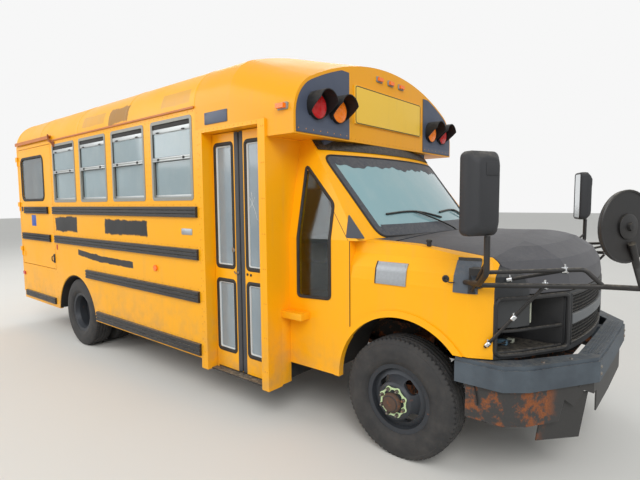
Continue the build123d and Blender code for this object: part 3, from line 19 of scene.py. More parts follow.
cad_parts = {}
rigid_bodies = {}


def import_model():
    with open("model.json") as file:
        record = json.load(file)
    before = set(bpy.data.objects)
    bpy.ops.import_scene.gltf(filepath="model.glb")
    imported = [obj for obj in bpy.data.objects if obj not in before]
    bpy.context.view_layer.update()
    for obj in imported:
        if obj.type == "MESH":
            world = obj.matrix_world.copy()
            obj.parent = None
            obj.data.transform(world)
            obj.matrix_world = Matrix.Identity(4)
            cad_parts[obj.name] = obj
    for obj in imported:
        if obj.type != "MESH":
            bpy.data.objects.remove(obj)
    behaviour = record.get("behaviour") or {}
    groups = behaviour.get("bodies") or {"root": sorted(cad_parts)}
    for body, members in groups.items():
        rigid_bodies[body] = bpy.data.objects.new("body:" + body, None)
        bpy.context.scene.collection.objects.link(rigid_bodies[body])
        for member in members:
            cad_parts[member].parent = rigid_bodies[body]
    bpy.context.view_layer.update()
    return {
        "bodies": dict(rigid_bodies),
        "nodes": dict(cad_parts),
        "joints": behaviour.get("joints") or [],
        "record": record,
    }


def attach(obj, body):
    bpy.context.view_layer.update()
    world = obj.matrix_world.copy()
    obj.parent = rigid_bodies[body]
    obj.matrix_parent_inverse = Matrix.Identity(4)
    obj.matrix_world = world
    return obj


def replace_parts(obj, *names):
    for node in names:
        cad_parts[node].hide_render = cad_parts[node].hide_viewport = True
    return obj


Array = np.ndarray
Flat = tuple[float, float]
Point = tuple[float, float, float]
Colour = tuple[float, float, float]
Row = tuple[float, float, float, float, float]
Socket = bpy.types.NodeSocket
LOG = logging.getLogger("school_bus")

FRONT_AXLE_X = 2.286
REAR_AXLE_X = -1.753
AXLE_Z = 0.386
BODY_HALF = 1.219
BELT_Z = 1.373
SHIELD_LEAN = 0.7778
ALONG_X: Point = (1.0, 0.0, 0.0)
ALONG_Y: Point = (0.0, 1.0, 0.0)
ALONG_Z: Point = (0.0, 0.0, 1.0)


def at(reach: float) -> float:
    """X of a reach from the front axle."""
    return FRONT_AXLE_X + reach


CAP_FACE_X = at(-0.645)
CAP_PANEL_X = at(-0.639)
REAR_FACE_X = at(-5.78)
CAB_SEAM_X = at(-0.345)


def srgb(red: int, green: int, blue: int) -> Colour:
    """Linear colour of a screen colour whose parts run from 0 to 255."""
    screen = np.array([red, green, blue]) / 255.0
    return tuple(np.where(screen < 0.04045, screen / 12.92, ((screen + 0.055) / 1.055) ** 2.4))


class Direction(Enum):
    """Ways that a flat detail faces, as its (u, v, outward) axes."""

    KERB = ((1, 0, 0), (0, 0, 1), (0, -1, 0))
    DRIVER = ((-1, 0, 0), (0, 0, 1), (0, 1, 0))
    FRONT = ((0, 1, 0), (0, 0, 1), (1, 0, 0))
    REAR = ((0, -1, 0), (0, 0, 1), (-1, 0, 0))
    UP = ((1, 0, 0), (0, 1, 0), (0, 0, 1))


@dataclass(frozen=True)
class Place:
    """A local frame: u across, v up and w outwards, set at an origin."""

    origin: Point
    facing: Direction = Direction.KERB

    def put(self, local: Array) -> Array:
        """Moves local (u, v, w) points into the frame of the bus."""
        return local @ np.array(self.facing.value, float) + np.array(self.origin)


SIDE_WAYS = {-1: Direction.KERB, 1: Direction.DRIVER}
BOTH_SIDES = (("right", -1), ("left", 1))


def wheel_corners() -> Iterator[tuple[str, str, float, int]]:
    """The four corners of the bus.

    Returns:
        End, side, X and sign of the side of each corner.
    """
    for end, x in (("front", FRONT_AXLE_X), ("rear", REAR_AXLE_X)):
        for side, sign in BOTH_SIDES:
            yield end, side, x, sign


def unit(steps: Array) -> Array:
    """Steps brought to a length of one."""
    return steps / np.linalg.norm(steps, axis=-1, keepdims=True)


def circle(count: int, start: float = 0.0) -> Array:
    """Even (u, v) points of a circle of radius one, from a start angle."""
    angle = start + np.linspace(0, 2 * math.pi, count, endpoint=False)
    return np.stack([np.cos(angle), np.sin(angle)], -1)


def level(outline: Array, height: float) -> Array:
    """An outline's (u, v) points with one height as w."""
    return np.column_stack([outline, np.full(len(outline), height)])


def across_bus(x: float, outline: Array) -> Array:
    """An outline's (y, z) points with one X."""
    return np.column_stack([np.full(len(outline), x), outline])


def on_side(outline: Array, y: float | Array) -> Array:
    """An outline's (x, z) points with their Y."""
    return np.stack(np.broadcast_arrays(outline[:, 0], y, outline[:, 1]), -1)


def rounds(profile: Sequence[Flat], count: int, start: float = 0.0) -> Array:
    """One circle of points for each (radius, outward) point of a profile."""
    turn = circle(count, start)
    return np.stack([level(turn * radius, out) for radius, out in profile])


def smooth_path(points: Sequence[Point], count: int) -> Array:
    """A soft line through a few points: each stretch is a cubic with the neighbours' slopes.

    Args:
        points: The points that the line passes.
        count: Samples in each stretch.

    Returns:
        Array of samples along the line.
    """
    p = np.array(points, float)
    p = np.vstack([2 * p[0] - p[1], p, 2 * p[-1] - p[-2]])
    t = np.linspace(0, 1, count, endpoint=False)[None, :, None]
    a, b, c, d = p[:-3, None], p[1:-2, None], p[2:-1, None], p[3:, None]
    run = 0.5 * (2 * b + (c - a) * t + (2 * a - 5 * b + 4 * c - d) * t**2 + (3 * b - a - 3 * c + d) * t**3)
    return np.vstack([run.reshape(-1, p.shape[1]), p[-2]])


def corner_turns(steps: int) -> tuple[Array, Array]:
    """Signs of a rectangle's corners, and a quarter turn at each.

    Args:
        steps: Samples of a corner.

    Returns:
        Two arrays of (u, v), turning from u towards v.
    """
    angle = np.concatenate([np.linspace(0, math.pi / 2, steps) + k * math.pi / 2 for k in range(4)])
    signs = np.repeat(np.array([(1, 1), (-1, 1), (-1, -1), (1, -1)]), steps, axis=0)
    return signs, np.stack([np.cos(angle), np.sin(angle)], -1)


def rounded_outline(width: float, height: float, radius: float, steps: int = 6) -> Array:
    """Outline of a rectangle with round corners, about its middle, turning from u towards v."""
    signs, turns = corner_turns(steps)
    return signs * np.array([width / 2 - radius, height / 2 - radius]) + radius * turns


def outward(outline: Array) -> Array:
    """Unit steps square to a closed outline, pointing out of it when it turns from u towards v.

    Args:
        outline: Array of (u, v) points.

    Returns:
        Array of (u, v) steps.
    """
    along = np.roll(outline, -1, 0) - np.roll(outline, 1, 0)
    along /= np.maximum(np.linalg.norm(along, axis=1, keepdims=True), 1e-9)
    return np.stack([along[:, 1], -along[:, 0]], -1)


def stepped(outline: Array, levels: Sequence[Flat]) -> Array:
    """Rings of an outline that is stepped in, one for each (inset, height) level."""
    step = outward(outline)
    return np.stack([level(outline - step * inset, height) for inset, height in levels])


def rings_along(along: Array, across: Point, sides: int) -> Array:
    """Circles of radius one that stand square to a path.

    The cosine goes one way square to the path and to the across direction, the sine square to both.

    Args:
        along: Array (samples, 3) of the path's directions.
        across: A direction that the path never follows.
        sides: Points of a circle.

    Returns:
        Array (samples, sides, 3).
    """
    side = unit(np.cross(along, np.array(across)))
    up = unit(np.cross(along, side))
    turn = circle(sides)
    return turn[:, :1] * side[:, None] + turn[:, 1:] * up[:, None]


def soft_polygon(corners: Sequence[Flat], radius: float, pitch: float = 0.01) -> Array:
    """A polygon with softened corners, sampled evenly along its length.

    Each corner becomes a parabola between the points that lie the radius before and after it.

    Args:
        corners: The polygon's (u, v) corners.
        radius: Distance from a corner at which its curve starts.
        pitch: Distance between the samples.

    Returns:
        Array of (u, v) points.
    """
    p = np.array(corners, float)
    back, ahead = (unit(np.roll(p, shift, 0) - p) * radius for shift in (1, -1))
    t = np.linspace(0, 1, 6)[None, :, None]
    arcs = (1 - t) ** 2 * (p + back)[:, None] + 2 * t * (1 - t) * p[:, None] + t**2 * (p + ahead)[:, None]
    closed = np.vstack([arcs.reshape(-1, 2), arcs[0, 0]])
    length = np.append(0, np.cumsum(np.linalg.norm(np.diff(closed, axis=0), axis=1)))
    places = np.linspace(0, length[-1], max(24, int(length[-1] / pitch)), endpoint=False)
    return np.stack([np.interp(places, length, axis) for axis in closed.T], -1)


def cab_side_y(z: Array) -> Array:
    """Half width of the cab at a height: upright to the belt, then leaning in."""
    return 0.99 - 0.14 * np.clip((np.asarray(z, float) - BELT_Z) / 0.707, 0, 1)


def fender_side_y(z: Array) -> Array:
    """Half width of the fender at a height: upright, then stepping in below the hood."""
    return np.interp(z, (1.13, 1.212, 1.29, 1.36), (0.985, 0.973, 0.925, 0.915))


def shield_x(y: Array, z: Array) -> Array:
    """X of the windshield: an arc across the cab that moves back as it rises."""
    radius = 2.65
    return at(-0.1) - radius + np.sqrt(radius**2 - np.asarray(y) ** 2) - SHIELD_LEAN * (np.asarray(z) - BELT_Z)


def on_shield(outline: Array, rise: float) -> Array:
    """An outline's (y, z) points laid on the windshield, moved forward by a rise."""
    return np.column_stack([shield_x(outline[:, 0], outline[:, 1]) + rise, outline])


class Surface:
    """Points and faces of one piece, gathered as whole arrays."""

    def __init__(self) -> None:
        """Starts empty."""
        self._points: list[Array] = []
        self._faces: list[Array] = []
        self._count = 0

    def add(self, points: Array, faces: Array) -> "Surface":
        """Adds points and the faces between them.

        Args:
            points: Array whose last axis is x, y, z.
            faces: Array of corner numbers, one row a face.

        Returns:
            This surface.
        """
        flat = np.asarray(points, float).reshape(-1, 3)
        self._points.append(flat)
        self._faces.append(np.asarray(faces, int) + self._count)
        self._count += len(flat)
        return self

    def grid(self, points: Array, rows_close: bool = False, columns_close: bool = False) -> "Surface":
        """Adds a sheet of quads over a grid of points.

        Args:
            points: Array (rows, columns, 3).
            rows_close: Whether the last row joins the first.
            columns_close: Whether the last column joins the first.

        Returns:
            This surface.
        """
        rows, columns = points.shape[:2]
        index = np.arange(rows * columns).reshape(rows, columns)
        if rows_close:
            index = np.vstack([index, index[:1]])
        if columns_close:
            index = np.hstack([index, index[:, :1]])
        corners = [index[:-1, :-1], index[1:, :-1], index[1:, 1:], index[:-1, 1:]]
        return self.add(points, np.stack(corners, -1).reshape(-1, 4))

    def closed(self, points: Array) -> "Surface":
        """Adds a sheet over a grid of points that joins itself both ways."""
        return self.grid(points, rows_close=True, columns_close=True)

    def lid(self, ring: Array) -> "Surface":
        """Closes a ring of points with one face."""
        return self.add(ring, np.arange(len(ring))[None, :])

    def loft(self, rings: Array) -> "Surface":
        """Adds a closed solid through rings of points (rings, points, 3), with a lid at each end."""
        return self.grid(rings, columns_close=True).lid(rings[0]).lid(rings[-1])

    def slab(self, place: Place, outline: Array, depth: float, edge: float = 0.001, base: float = 0.001) -> "Surface":
        """Adds a flat plate whose outer rim is bevelled.

        The outline is carried outwards from base to depth, and steps in by the edge over the last part.

        Args:
            place: Where the outline lies.
            outline: Closed (u, v) outline.
            depth: How far the plate stands out.
            edge: Width of the bevel.
            base: How far inside its back starts.

        Returns:
            This surface.
        """
        levels = [(0.0, -base), (0.0, depth - edge), (edge * 0.35, depth - edge * 0.35), (edge, depth)]
        return self.loft(place.put(stepped(outline, levels)))

    def plate(self, place: Place, size: Point, depth: float, edge: float, base: float = 0.001) -> "Surface":
        """Adds a rectangular slab whose size is its width, its height and the radius of its corners."""
        return self.slab(place, rounded_outline(*size), depth, edge, base)

    def bead(self, place: Place, outline: Array, width: float, height: float, sides: int = 6) -> "Surface":
        """Adds a half round bead carried along a closed outline.

        The section is half an ellipse, width across and height out, closed along its foot.

        Args:
            place: Where the outline lies.
            outline: Closed (u, v) outline, the middle of the bead.
            width: Width of the bead.
            height: How far it stands out.
            sides: Samples of the half round.

        Returns:
            This surface.
        """
        angle = np.linspace(0, math.pi, sides)
        across = np.append(np.cos(angle) * width / 2, 0.0)
        out = np.append(np.sin(angle) * height, -0.001)
        local = outline[:, None] + outward(outline)[:, None] * across[None, :, None]
        local = np.concatenate([local, np.broadcast_to(out[None, :, None], local.shape[:2] + (1,))], -1)
        return self.closed(place.put(local))

    def tube(self, path: Array, radius: float, sides: int = 10, across: Point = (0.31, 0.17, 0.93)) -> "Surface":
        """Adds a round tube along a path, whose first and last ring are smaller.

        Args:
            path: Array (samples, 3).
            radius: Radius of the tube.
            sides: Points of a ring.
            across: A direction that the path never follows.

        Returns:
            This surface.
        """
        along = unit(np.gradient(path, axis=0))
        first, last = along[0], along[-1]
        path = np.vstack([path[0] - first * radius * 0.35, path, path[-1] + last * radius * 0.35])
        size = np.full((len(path), 1, 1), radius)
        size[[0, -1]] *= 0.7
        return self.loft(path[:, None] + rings_along(np.vstack([first, along, last]), across, sides) * size)

    def hoop(self, path: Array, radius: float, sides: int = 8, across: Point = ALONG_Y) -> "Surface":
        """Adds a round cord along a path whose last point joins the first, and that never follows across."""
        along = np.roll(path, -1, 0) - np.roll(path, 1, 0)
        return self.closed(path[:, None] + rings_along(along, across, sides) * radius)

    def turned(self, place: Place, profile: Sequence[Flat], steps: int = 32) -> "Surface":
        """Adds a profile of (radius, outward) points carried round the outward axis of a place."""
        return self.loft(place.put(rounds(profile, steps)))

    def domes(self, centres: Array, facing: Direction, radius: float, height: float, sides: int = 8) -> "Surface":
        """Adds a dome, such as a rivet head, at each centre.

        A dome is two rings and a crown: radius times the cosine, height times the sine, of 0, 45 and 80 degrees.

        Args:
            centres: Array (count, 3).
            facing: Way that the domes face.
            radius: Radius of a dome.
            height: How far it stands out.
            sides: Points of a ring.

        Returns:
            This surface.
        """
        lifts = [math.radians(degrees) for degrees in (0, 45, 80)]
        ring = rounds([(radius * math.cos(lift), height * math.sin(lift) - 0.0004) for lift in lifts], sides)
        centres = np.asarray(centres, float).reshape(-1, 3)
        index = np.arange(len(centres) * 3 * sides).reshape(-1, 3, sides)
        wrap = np.concatenate([index, index[:, :, :1]], 2)
        quads = np.stack([wrap[:, :-1, :-1], wrap[:, :-1, 1:], wrap[:, 1:, 1:], wrap[:, 1:, :-1]], -1)
        start = self._count
        self.add(centres[:, None, None] + Place((0, 0, 0), facing).put(ring), quads.reshape(-1, 4))
        self._faces += [index[:, 2] + start, index[:, 0, ::-1] + start]
        return self

    def block(self, low: Point, high: Point, radius: float, steps: int = 4) -> "Surface":
        """Adds a box with round edges between two opposite corners.

        A ball of the radius is cut in eight, and each part is moved out to its corner of the box.

        Args:
            low: One corner.
            high: The corner opposite.
            radius: Radius of the edges.
            steps: Samples of a quarter turn.

        Returns:
            This surface.
        """
        low, high = np.minimum(low, high), np.maximum(low, high)
        core = (high - low) / 2 - radius
        signs, turns = corner_turns(steps)
        quarter = np.linspace(0, math.pi / 2, steps)
        lifts = [(lift - math.pi / 2, -core[2]) for lift in quarter] + [(lift, core[2]) for lift in quarter]
        rings = np.stack([level(signs * core[:2] + radius * math.cos(lift) * turns, z + radius * math.sin(lift))
                          for lift, z in lifts]) + (low + high) / 2
        corners = np.arange(4) * steps
        return self.grid(rings, columns_close=True).lid(rings[0][corners]).lid(rings[-1][corners])

    def build(self, name: str, finish: Enum, slot: str = "", body: str = "bus",
              crease: float = 38.0) -> bpy.types.Object:
        """Makes the piece, merges its seams, turns its faces outwards and sets it on its body.

        Args:
            name: Name of the piece.
            finish: What it is finished in.
            slot: Material slot of the record, if it has one; not used.
            body: The body that it rides on.
            crease: Angle in degrees past which an edge stays sharp.

        Returns:
            The piece.
        """
        mesh = bpy.data.meshes.new(name)
        points = np.concatenate(self._points).astype(np.float32)
        corners = np.concatenate([f.ravel() for f in self._faces]).astype(np.int32)
        widths = np.concatenate([np.full(len(f), f.shape[1]) for f in self._faces])
        starts = np.concatenate([[0], np.cumsum(widths)[:-1]]).astype(np.int32)
        mesh.vertices.add(len(points))
        mesh.vertices.foreach_set("co", points.ravel())
        mesh.loops.add(len(corners))
        mesh.loops.foreach_set("vertex_index", corners)
        mesh.polygons.add(len(widths))
        mesh.polygons.foreach_set("loop_start", starts)
        mesh.update(calc_edges=True)
        mesh.validate()
        work = bmesh.new()
        work.from_mesh(mesh)
        bmesh.ops.remove_doubles(work, verts=work.verts, dist=2e-6)
        bmesh.ops.recalc_face_normals(work, faces=work.faces)
        work.to_mesh(mesh)
        work.free()
        mesh.shade_smooth()
        mesh.set_sharp_from_angle(angle=math.radians(crease))
        mesh.materials.append(finish.value.material())
        piece = bpy.data.objects.new(name, mesh)
        bpy.context.scene.collection.objects.link(piece)
        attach(piece, body)
        LOG.info("%s: %d faces on %s", name, len(mesh.polygons), body)
        return piece


class Recipe:
    """Nodes of one material, with short calls for the patterns that the finishes share."""

    def __init__(self, name: str) -> None:
        """Makes the material with its shader.

        Args:
            name: Name of the material.
        """
        self.material = bpy.data.materials.new(name)
        self.material.use_nodes = True
        self.tree = self.material.node_tree
        self.tree.nodes.clear()
        self.shader = self.tree.nodes.new("ShaderNodeBsdfPrincipled")
        output = self.tree.nodes.new("ShaderNodeOutputMaterial")
        self.tree.links.new(self.shader.outputs[0], output.inputs["Surface"])
        self.place = self.node("TexCoord").outputs["Object"]
        self.x, self.y, self.z = self.node("SeparateXYZ", Vector=self.place).outputs

    def plug(self, value: object, socket: Socket) -> None:
        """Links an output, or sets a plain value, on a socket.

        Args:
            value: The output, or a number, colour or vector.
            socket: The input that takes it.
        """
        if isinstance(value, Socket):
            self.tree.links.new(value, socket)
        elif hasattr(value, "__len__") and len(value) == 3 and socket.type == "RGBA":
            socket.default_value = (*value, 1.0)
        else:
            socket.default_value = value

    def set(self, socket: str, value: object) -> None:
        """Sets or links one of the shader's own sockets."""
        self.plug(value, self.shader.inputs[socket])

    def node(self, kind: str, **inputs: object) -> bpy.types.Node:
        """Adds a node and plugs its inputs, named with an underscore for each space.

        Args:
            kind: Name of the node without its first part.
            inputs: Value or output of each input.

        Returns:
            The node.
        """
        node = self.tree.nodes.new("ShaderNode" + kind)
        for name, value in inputs.items():
            self.plug(value, node.inputs[name.replace("_", " ")])
        return node

    def math(self, kind: str, first: object, second: object = 0.0, clamp: bool = False) -> Socket:
        """One sum of two values.

        Args:
            kind: Name of the operation.
            first: First value or output.
            second: Second value or output.
            clamp: Whether the result stays from 0 to 1.

        Returns:
            The result's output.
        """
        node = self.node("Math")
        node.operation, node.use_clamp = kind, clamp
        self.plug(first, node.inputs[0])
        self.plug(second, node.inputs[1])
        return node.outputs[0]

    def times(self, first: object, second: object) -> Socket:
        """Product of two values."""
        return self.math("MULTIPLY", first, second)

    def noise(self, scale: float, detail: float = 4.0, stretch: Point = (1, 1, 1), rough: float = 0.55) -> Socket:
        """Cloudy noise from 0 to 1 over the piece.

        Args:
            scale: Waves in a metre.
            detail: Layers of finer noise.
            stretch: How much finer it is along each axis.
            rough: How strong the finer layers are.

        Returns:
            The noise's output.
        """
        place = self.node("Mapping", Vector=self.place, Scale=stretch).outputs[0]
        return self.node("TexNoise", Vector=place, Scale=scale, Detail=detail, Roughness=rough).outputs["Fac"]

    def ramp(self, value: object, low: float, high: float) -> Socket:
        """Softly carries a value from 0 at low to 1 at high.

        Args:
            value: The value or output.
            low: Where it is 0.
            high: Where it is 1.

        Returns:
            The result's output.
        """
        node = self.node("MapRange", Value=value, From_Min=low, From_Max=high)
        node.interpolation_type = "SMOOTHSTEP"
        return node.outputs["Result"]

    def clouds(self, low: float, high: float, scale: float, detail: float, **more: object) -> Socket:
        """Noise of a scale and detail, spread from 0 at low to 1 at high."""
        return self.ramp(self.noise(scale, detail, **more), low, high)

    def mix(self, factor: object, first: object, second: object) -> Socket:
        """Mixes two colours.

        Args:
            factor: Share of the second, from 0 to 1.
            first: First colour or output.
            second: Second colour or output.

        Returns:
            The mixed colour's output.
        """
        node = self.node("Mix")
        node.data_type = "RGBA"
        for number, value in ((0, factor), (6, first), (7, second)):
            self.plug(value, node.inputs[number])
        return node.outputs[2]

    def tint(self, under: object, mask: object, strength: float, over: object) -> Socket:
        """Lays a colour over another where a mask is, at a strength."""
        return self.mix(self.times(mask, strength), under, over)

    def blend(self, factor: object, first: float, second: float) -> Socket:
        """Mixes two numbers by a factor."""
        return self.node("MapRange", Value=factor, To_Min=first, To_Max=second).outputs["Result"]

    def skin(self, colour: object, wear: object, fresh: float, worn: float) -> None:
        """Sets the colour, and the roughness from fresh to worn by the wear."""
        self.set("Base Color", colour)
        self.set("Roughness", self.blend(wear, fresh, worn))

    def gloss(self, specular: float, weight: float, rough: float) -> None:
        """Sets the specular level and a clear coat.

        Args:
            specular: Specular level.
            weight: Weight of the coat.
            rough: Roughness of the coat.
        """
        self.set("Specular IOR Level", specular)
        self.set("Coat Weight", weight)
        self.set("Coat Roughness", rough)

    def bump(self, height: object, strength: float, distance: float, before: Socket | None = None) -> Socket:
        """Raises fine relief from a height.

        Args:
            height: Output that gives the height.
            strength: Strength of the relief.
            distance: Depth in metres of the whole height.
            before: Relief that this one is laid over.

        Returns:
            The normal's output, already set on the shader.
        """
        node = self.node("Bump", Strength=strength, Distance=distance, Height=height)
        if before is not None:
            self.plug(before, node.inputs["Normal"])
        self.set("Normal", node.outputs[0])
        return node.outputs[0]

    def inside(self, value: object, low: float, high: float, soft: float) -> Socket:
        """1 where a value lies between two limits, with a soft step at each."""
        return self.times(self.ramp(value, low - soft, low + soft), self.ramp(value, high + soft, high - soft))


@dataclass(frozen=True)
class Zone:
    """A stretch of a piece that has another colour: it starts along an axis and is full at its end."""

    axis: str
    start: float
    end: float
    colour: Colour = (0.0, 0.0, 0.0)

    def share(self, recipe: Recipe) -> Socket:
        """0 before the zone and 1 inside it."""
        return recipe.ramp(getattr(recipe, self.axis), self.start, self.end)


@dataclass(frozen=True)
class Patch:
    """A ragged patch of another colour on a painted side, as limits in X and Z."""

    colour: Colour
    x: Flat
    z: Flat
    strength: float = 1.0
    ragged: float = 0.02
    fall: float = 0.0
    depth: float = -1.0

    def laid(self, recipe: Recipe, under: object, edge: Socket) -> Socket:
        """Lays the patch over a colour.

        Args:
            recipe: The recipe that the patch goes into.
            under: The colour under it.
            edge: Noise that makes its edge ragged.

        Returns:
            The colour with the patch.
        """
        shift = recipe.times(recipe.math("SUBTRACT", edge, 0.5), self.ragged * 2)
        across = recipe.inside(recipe.math("ADD", recipe.x, shift), *self.x, self.ragged * 0.25)
        sag = recipe.times(recipe.math("SUBTRACT", recipe.x, self.x[0]), self.fall)
        height = recipe.math("ADD", recipe.math("ADD", recipe.z, sag), shift)
        up = recipe.inside(height, *self.z, self.ragged * 0.25)
        side = recipe.ramp(recipe.y, self.depth, self.depth - 0.001)
        return recipe.tint(under, recipe.times(recipe.times(across, up), side), self.strength, self.colour)


@dataclass(frozen=True)
class Finish:
    """A finish, made once and shared by every piece that names it."""

    name: str
    colour: Colour
    roughness: float = 0.5

    def material(self) -> bpy.types.Material:
        """Makes the material of this finish on first use.

        Returns:
            The material.
        """
        title = f"finish_{self.name}"
        made = bpy.data.materials.get(title)
        if made is None:
            recipe = Recipe(title)
            self.mixed(recipe)
            made = recipe.material
        return made

    def mixed(self, recipe: Recipe) -> None:
        """Sets the shader of the recipe."""
        raise NotImplementedError


@dataclass(frozen=True)
class Enamel(Finish):
    """Gloss enamel that has weathered: chalky clouds, dust low down, rain streaks, chips and patches."""

    chalk: Colour = srgb(236, 176, 60)
    dust: Colour = (0.32, 0.24, 0.15)
    dust_low: float = 0.36
    dust_high: float = 1.0
    patches: tuple[Patch, ...] = ()

    def mixed(self, recipe: Recipe) -> None:
        """Clouds of chalk, then vertical streaks, dust rising from the skirt, chips and the patches.

        Args:
            recipe: Nodes that the finish goes into.
        """
        clouds = recipe.clouds(0.35, 0.75, 1.6, 6.0)
        colour = recipe.tint(self.colour, clouds, 0.1, self.chalk)
        streaks = recipe.clouds(0.52, 0.8, 4.0, 5.0, stretch=(3.2, 3.2, 0.28))
        colour = recipe.tint(colour, streaks, 0.1, self.dust)
        low = recipe.ramp(recipe.z, self.dust_high, self.dust_low)
        grime = recipe.times(low, recipe.clouds(0.32, 0.78, 7.0, 8.0))
        colour = recipe.tint(colour, grime, 0.42, self.dust)
        chips = recipe.clouds(0.7, 0.74, 260.0, 2.0)
        colour = recipe.tint(colour, chips, 0.18, srgb(92, 60, 26))
        edge = recipe.noise(7.0, 4.0, (1, 1, 1), 0.6)
        for patch in self.patches:
            colour = patch.laid(recipe, colour, edge)
        recipe.skin(colour, recipe.math("MAXIMUM", clouds, grime), self.roughness, self.roughness + 0.2)
        recipe.gloss(0.24, 0.12, 0.16)
        ripple = recipe.bump(recipe.noise(3.2, 1.0), 0.25, 0.012)
        recipe.bump(recipe.noise(420.0, 2.0), 0.08, 0.0006, ripple)



@dataclass(frozen=True)
class Moulded(Finish):
    """Moulded plastic or matt paint: fine grain, faded clouds and dust that lies on upward faces."""

    faded: Colour = (0.2, 0.2, 0.2)
    fade: float = 0.35
    grain: float = 900.0
    relief: float = 0.35
    dust: float = 0.25
    zone: Zone | None = None

    def mixed(self, recipe: Recipe) -> None:
        """Clouds of fading, a dust layer by the upward normal, and grain as relief.

        Args:
            recipe: Nodes that the finish goes into.
        """
        clouds = recipe.clouds(0.3, 0.8, 5.0, 6.0)
        colour = recipe.tint(self.colour, clouds, self.fade, self.faded)
        if self.zone:
            colour = recipe.mix(self.zone.share(recipe), colour, self.zone.colour)
        facing = recipe.node("SeparateXYZ", Vector=recipe.node("NewGeometry").outputs["Normal"])
        specks = recipe.clouds(0.35, 0.7, 38.0, 7.0, rough=0.75)
        lying = recipe.times(recipe.ramp(facing.outputs[2], 0.25, 0.95), specks)
        colour = recipe.tint(colour, lying, self.dust, srgb(196, 184, 162))
        recipe.skin(colour, clouds, self.roughness, min(1.0, self.roughness + 0.15))
        recipe.bump(recipe.noise(self.grain, 2.0), self.relief, 0.0008)


@dataclass(frozen=True)
class Rubber(Finish):
    """Black rubber with dry dust in its low places."""

    dusty: Colour = (0.16, 0.14, 0.12)
    amount: float = 0.5

    def mixed(self, recipe: Recipe) -> None:
        """Dust in clouds over dark rubber, and fine grain.

        Args:
            recipe: Nodes that the finish goes into.
        """
        clouds = recipe.clouds(0.3, 0.8, 9.0, 8.0, rough=0.7)
        recipe.skin(recipe.tint(self.colour, clouds, self.amount, self.dusty), clouds, self.roughness, 0.95)
        recipe.bump(recipe.noise(300.0, 4.0), 0.4, 0.0008)


@dataclass(frozen=True)
class Steel(Finish):
    """Metal, bare or thinly painted, with rust that spreads from noise."""

    rust: float = 0.0
    metallic: float = 0.8
    brushed: float = 0.0
    rust_colour: Colour = (0.16, 0.055, 0.022)
    scale: float = 16.0
    zone: Zone | None = None

    def mixed(self, recipe: Recipe) -> None:
        """Rust patches of noise over the metal, in tones of a finer noise, and a brushed grain if it has one.

        Args:
            recipe: Nodes that the finish goes into.
        """
        spread = recipe.noise(self.scale, 9.0, rough=0.7)
        eaten = recipe.ramp(spread, 0.72 - 0.42 * self.rust, 0.82 - 0.42 * self.rust)
        eaten = recipe.times(eaten, min(1.0, self.rust * 4))
        if self.zone:
            eaten = recipe.times(eaten, self.zone.share(recipe))
        shade = recipe.mix(recipe.noise(70.0, 5.0), self.colour, tuple(c * 0.72 for c in self.colour))
        tone = recipe.mix(recipe.noise(120.0, 6.0), self.rust_colour, srgb(160, 92, 48))
        recipe.skin(recipe.mix(eaten, shade, tone), eaten, self.roughness, 0.92)
        recipe.set("Metallic", recipe.blend(eaten, self.metallic, 0.0))
        grain = recipe.noise(120.0, 3.0, (0.05, 0.05, 3.0)) if self.brushed else recipe.noise(260.0, 5.0)
        recipe.bump(recipe.math("ADD", grain, recipe.times(eaten, 0.8)), 0.28, 0.0009)


@dataclass(frozen=True)
class Glass(Finish):
    """Clear or tinted glass with a thin film of dust; where it is not clear its colour shows as a flat layer, which
    on the side and entrance panes is a painted sky reflection.
    """

    clear: float = 0.85
    film: float = 0.12
    zone: Zone | None = None

    def mixed(self, recipe: Recipe) -> None:
        """Dust in clouds and dried drops lowers the clearness and roughens the glass.

        Args:
            recipe: Nodes that the finish goes into.
        """
        clouds = recipe.clouds(0.35, 0.85, 6.0, 7.0, stretch=(1, 1, 0.5))
        drops = recipe.clouds(0.64, 0.72, 90.0, 3.0)
        film = recipe.math("MULTIPLY", recipe.math("MAXIMUM", clouds, drops), self.film, clamp=True)
        clear = recipe.blend(film, self.clear, self.clear * 0.5)
        if self.zone:
            clear = recipe.math("ADD", clear, recipe.times(self.zone.share(recipe), 0.9), clamp=True)
        recipe.skin(recipe.mix(film, self.colour, srgb(205, 205, 198)), film, self.roughness, 0.6)
        recipe.set("Transmission Weight", clear)
        recipe.set("IOR", 1.5)
        recipe.bump(recipe.noise(1.3, 1.0), 0.06, 0.01)


@dataclass(frozen=True)
class Lens(Finish):
    """Coloured lamp plastic that lets some light into its depth."""

    depth: float = 0.0
    rear: Colour | None = None
    rear_limit: float = at(-5.6)

    def mixed(self, recipe: Recipe) -> None:
        """Slight clouding and fine prisms under a gloss coat; behind the limit it takes its rear colour.

        Args:
            recipe: Nodes that the finish goes into.
        """
        clouds = recipe.clouds(0.4, 0.8, 24.0, 5.0)
        colour = self.colour
        if self.rear:
            share = recipe.ramp(recipe.x, self.rear_limit + 0.01, self.rear_limit)
            colour = recipe.mix(share, self.colour, self.rear)
        pale = tuple(min(1.0, c * 1.25 + 0.01) for c in self.colour)
        recipe.skin(recipe.tint(colour, clouds, 0.18, pale), clouds, self.roughness, self.roughness + 0.15)
        recipe.set("Transmission Weight", self.depth)
        recipe.set("Emission Color", colour)
        recipe.set("Emission Strength", 0.1)
        recipe.gloss(0.3, 0.3, 0.08)
        recipe.bump(recipe.noise(160.0, 2.0), 0.12, 0.0008)


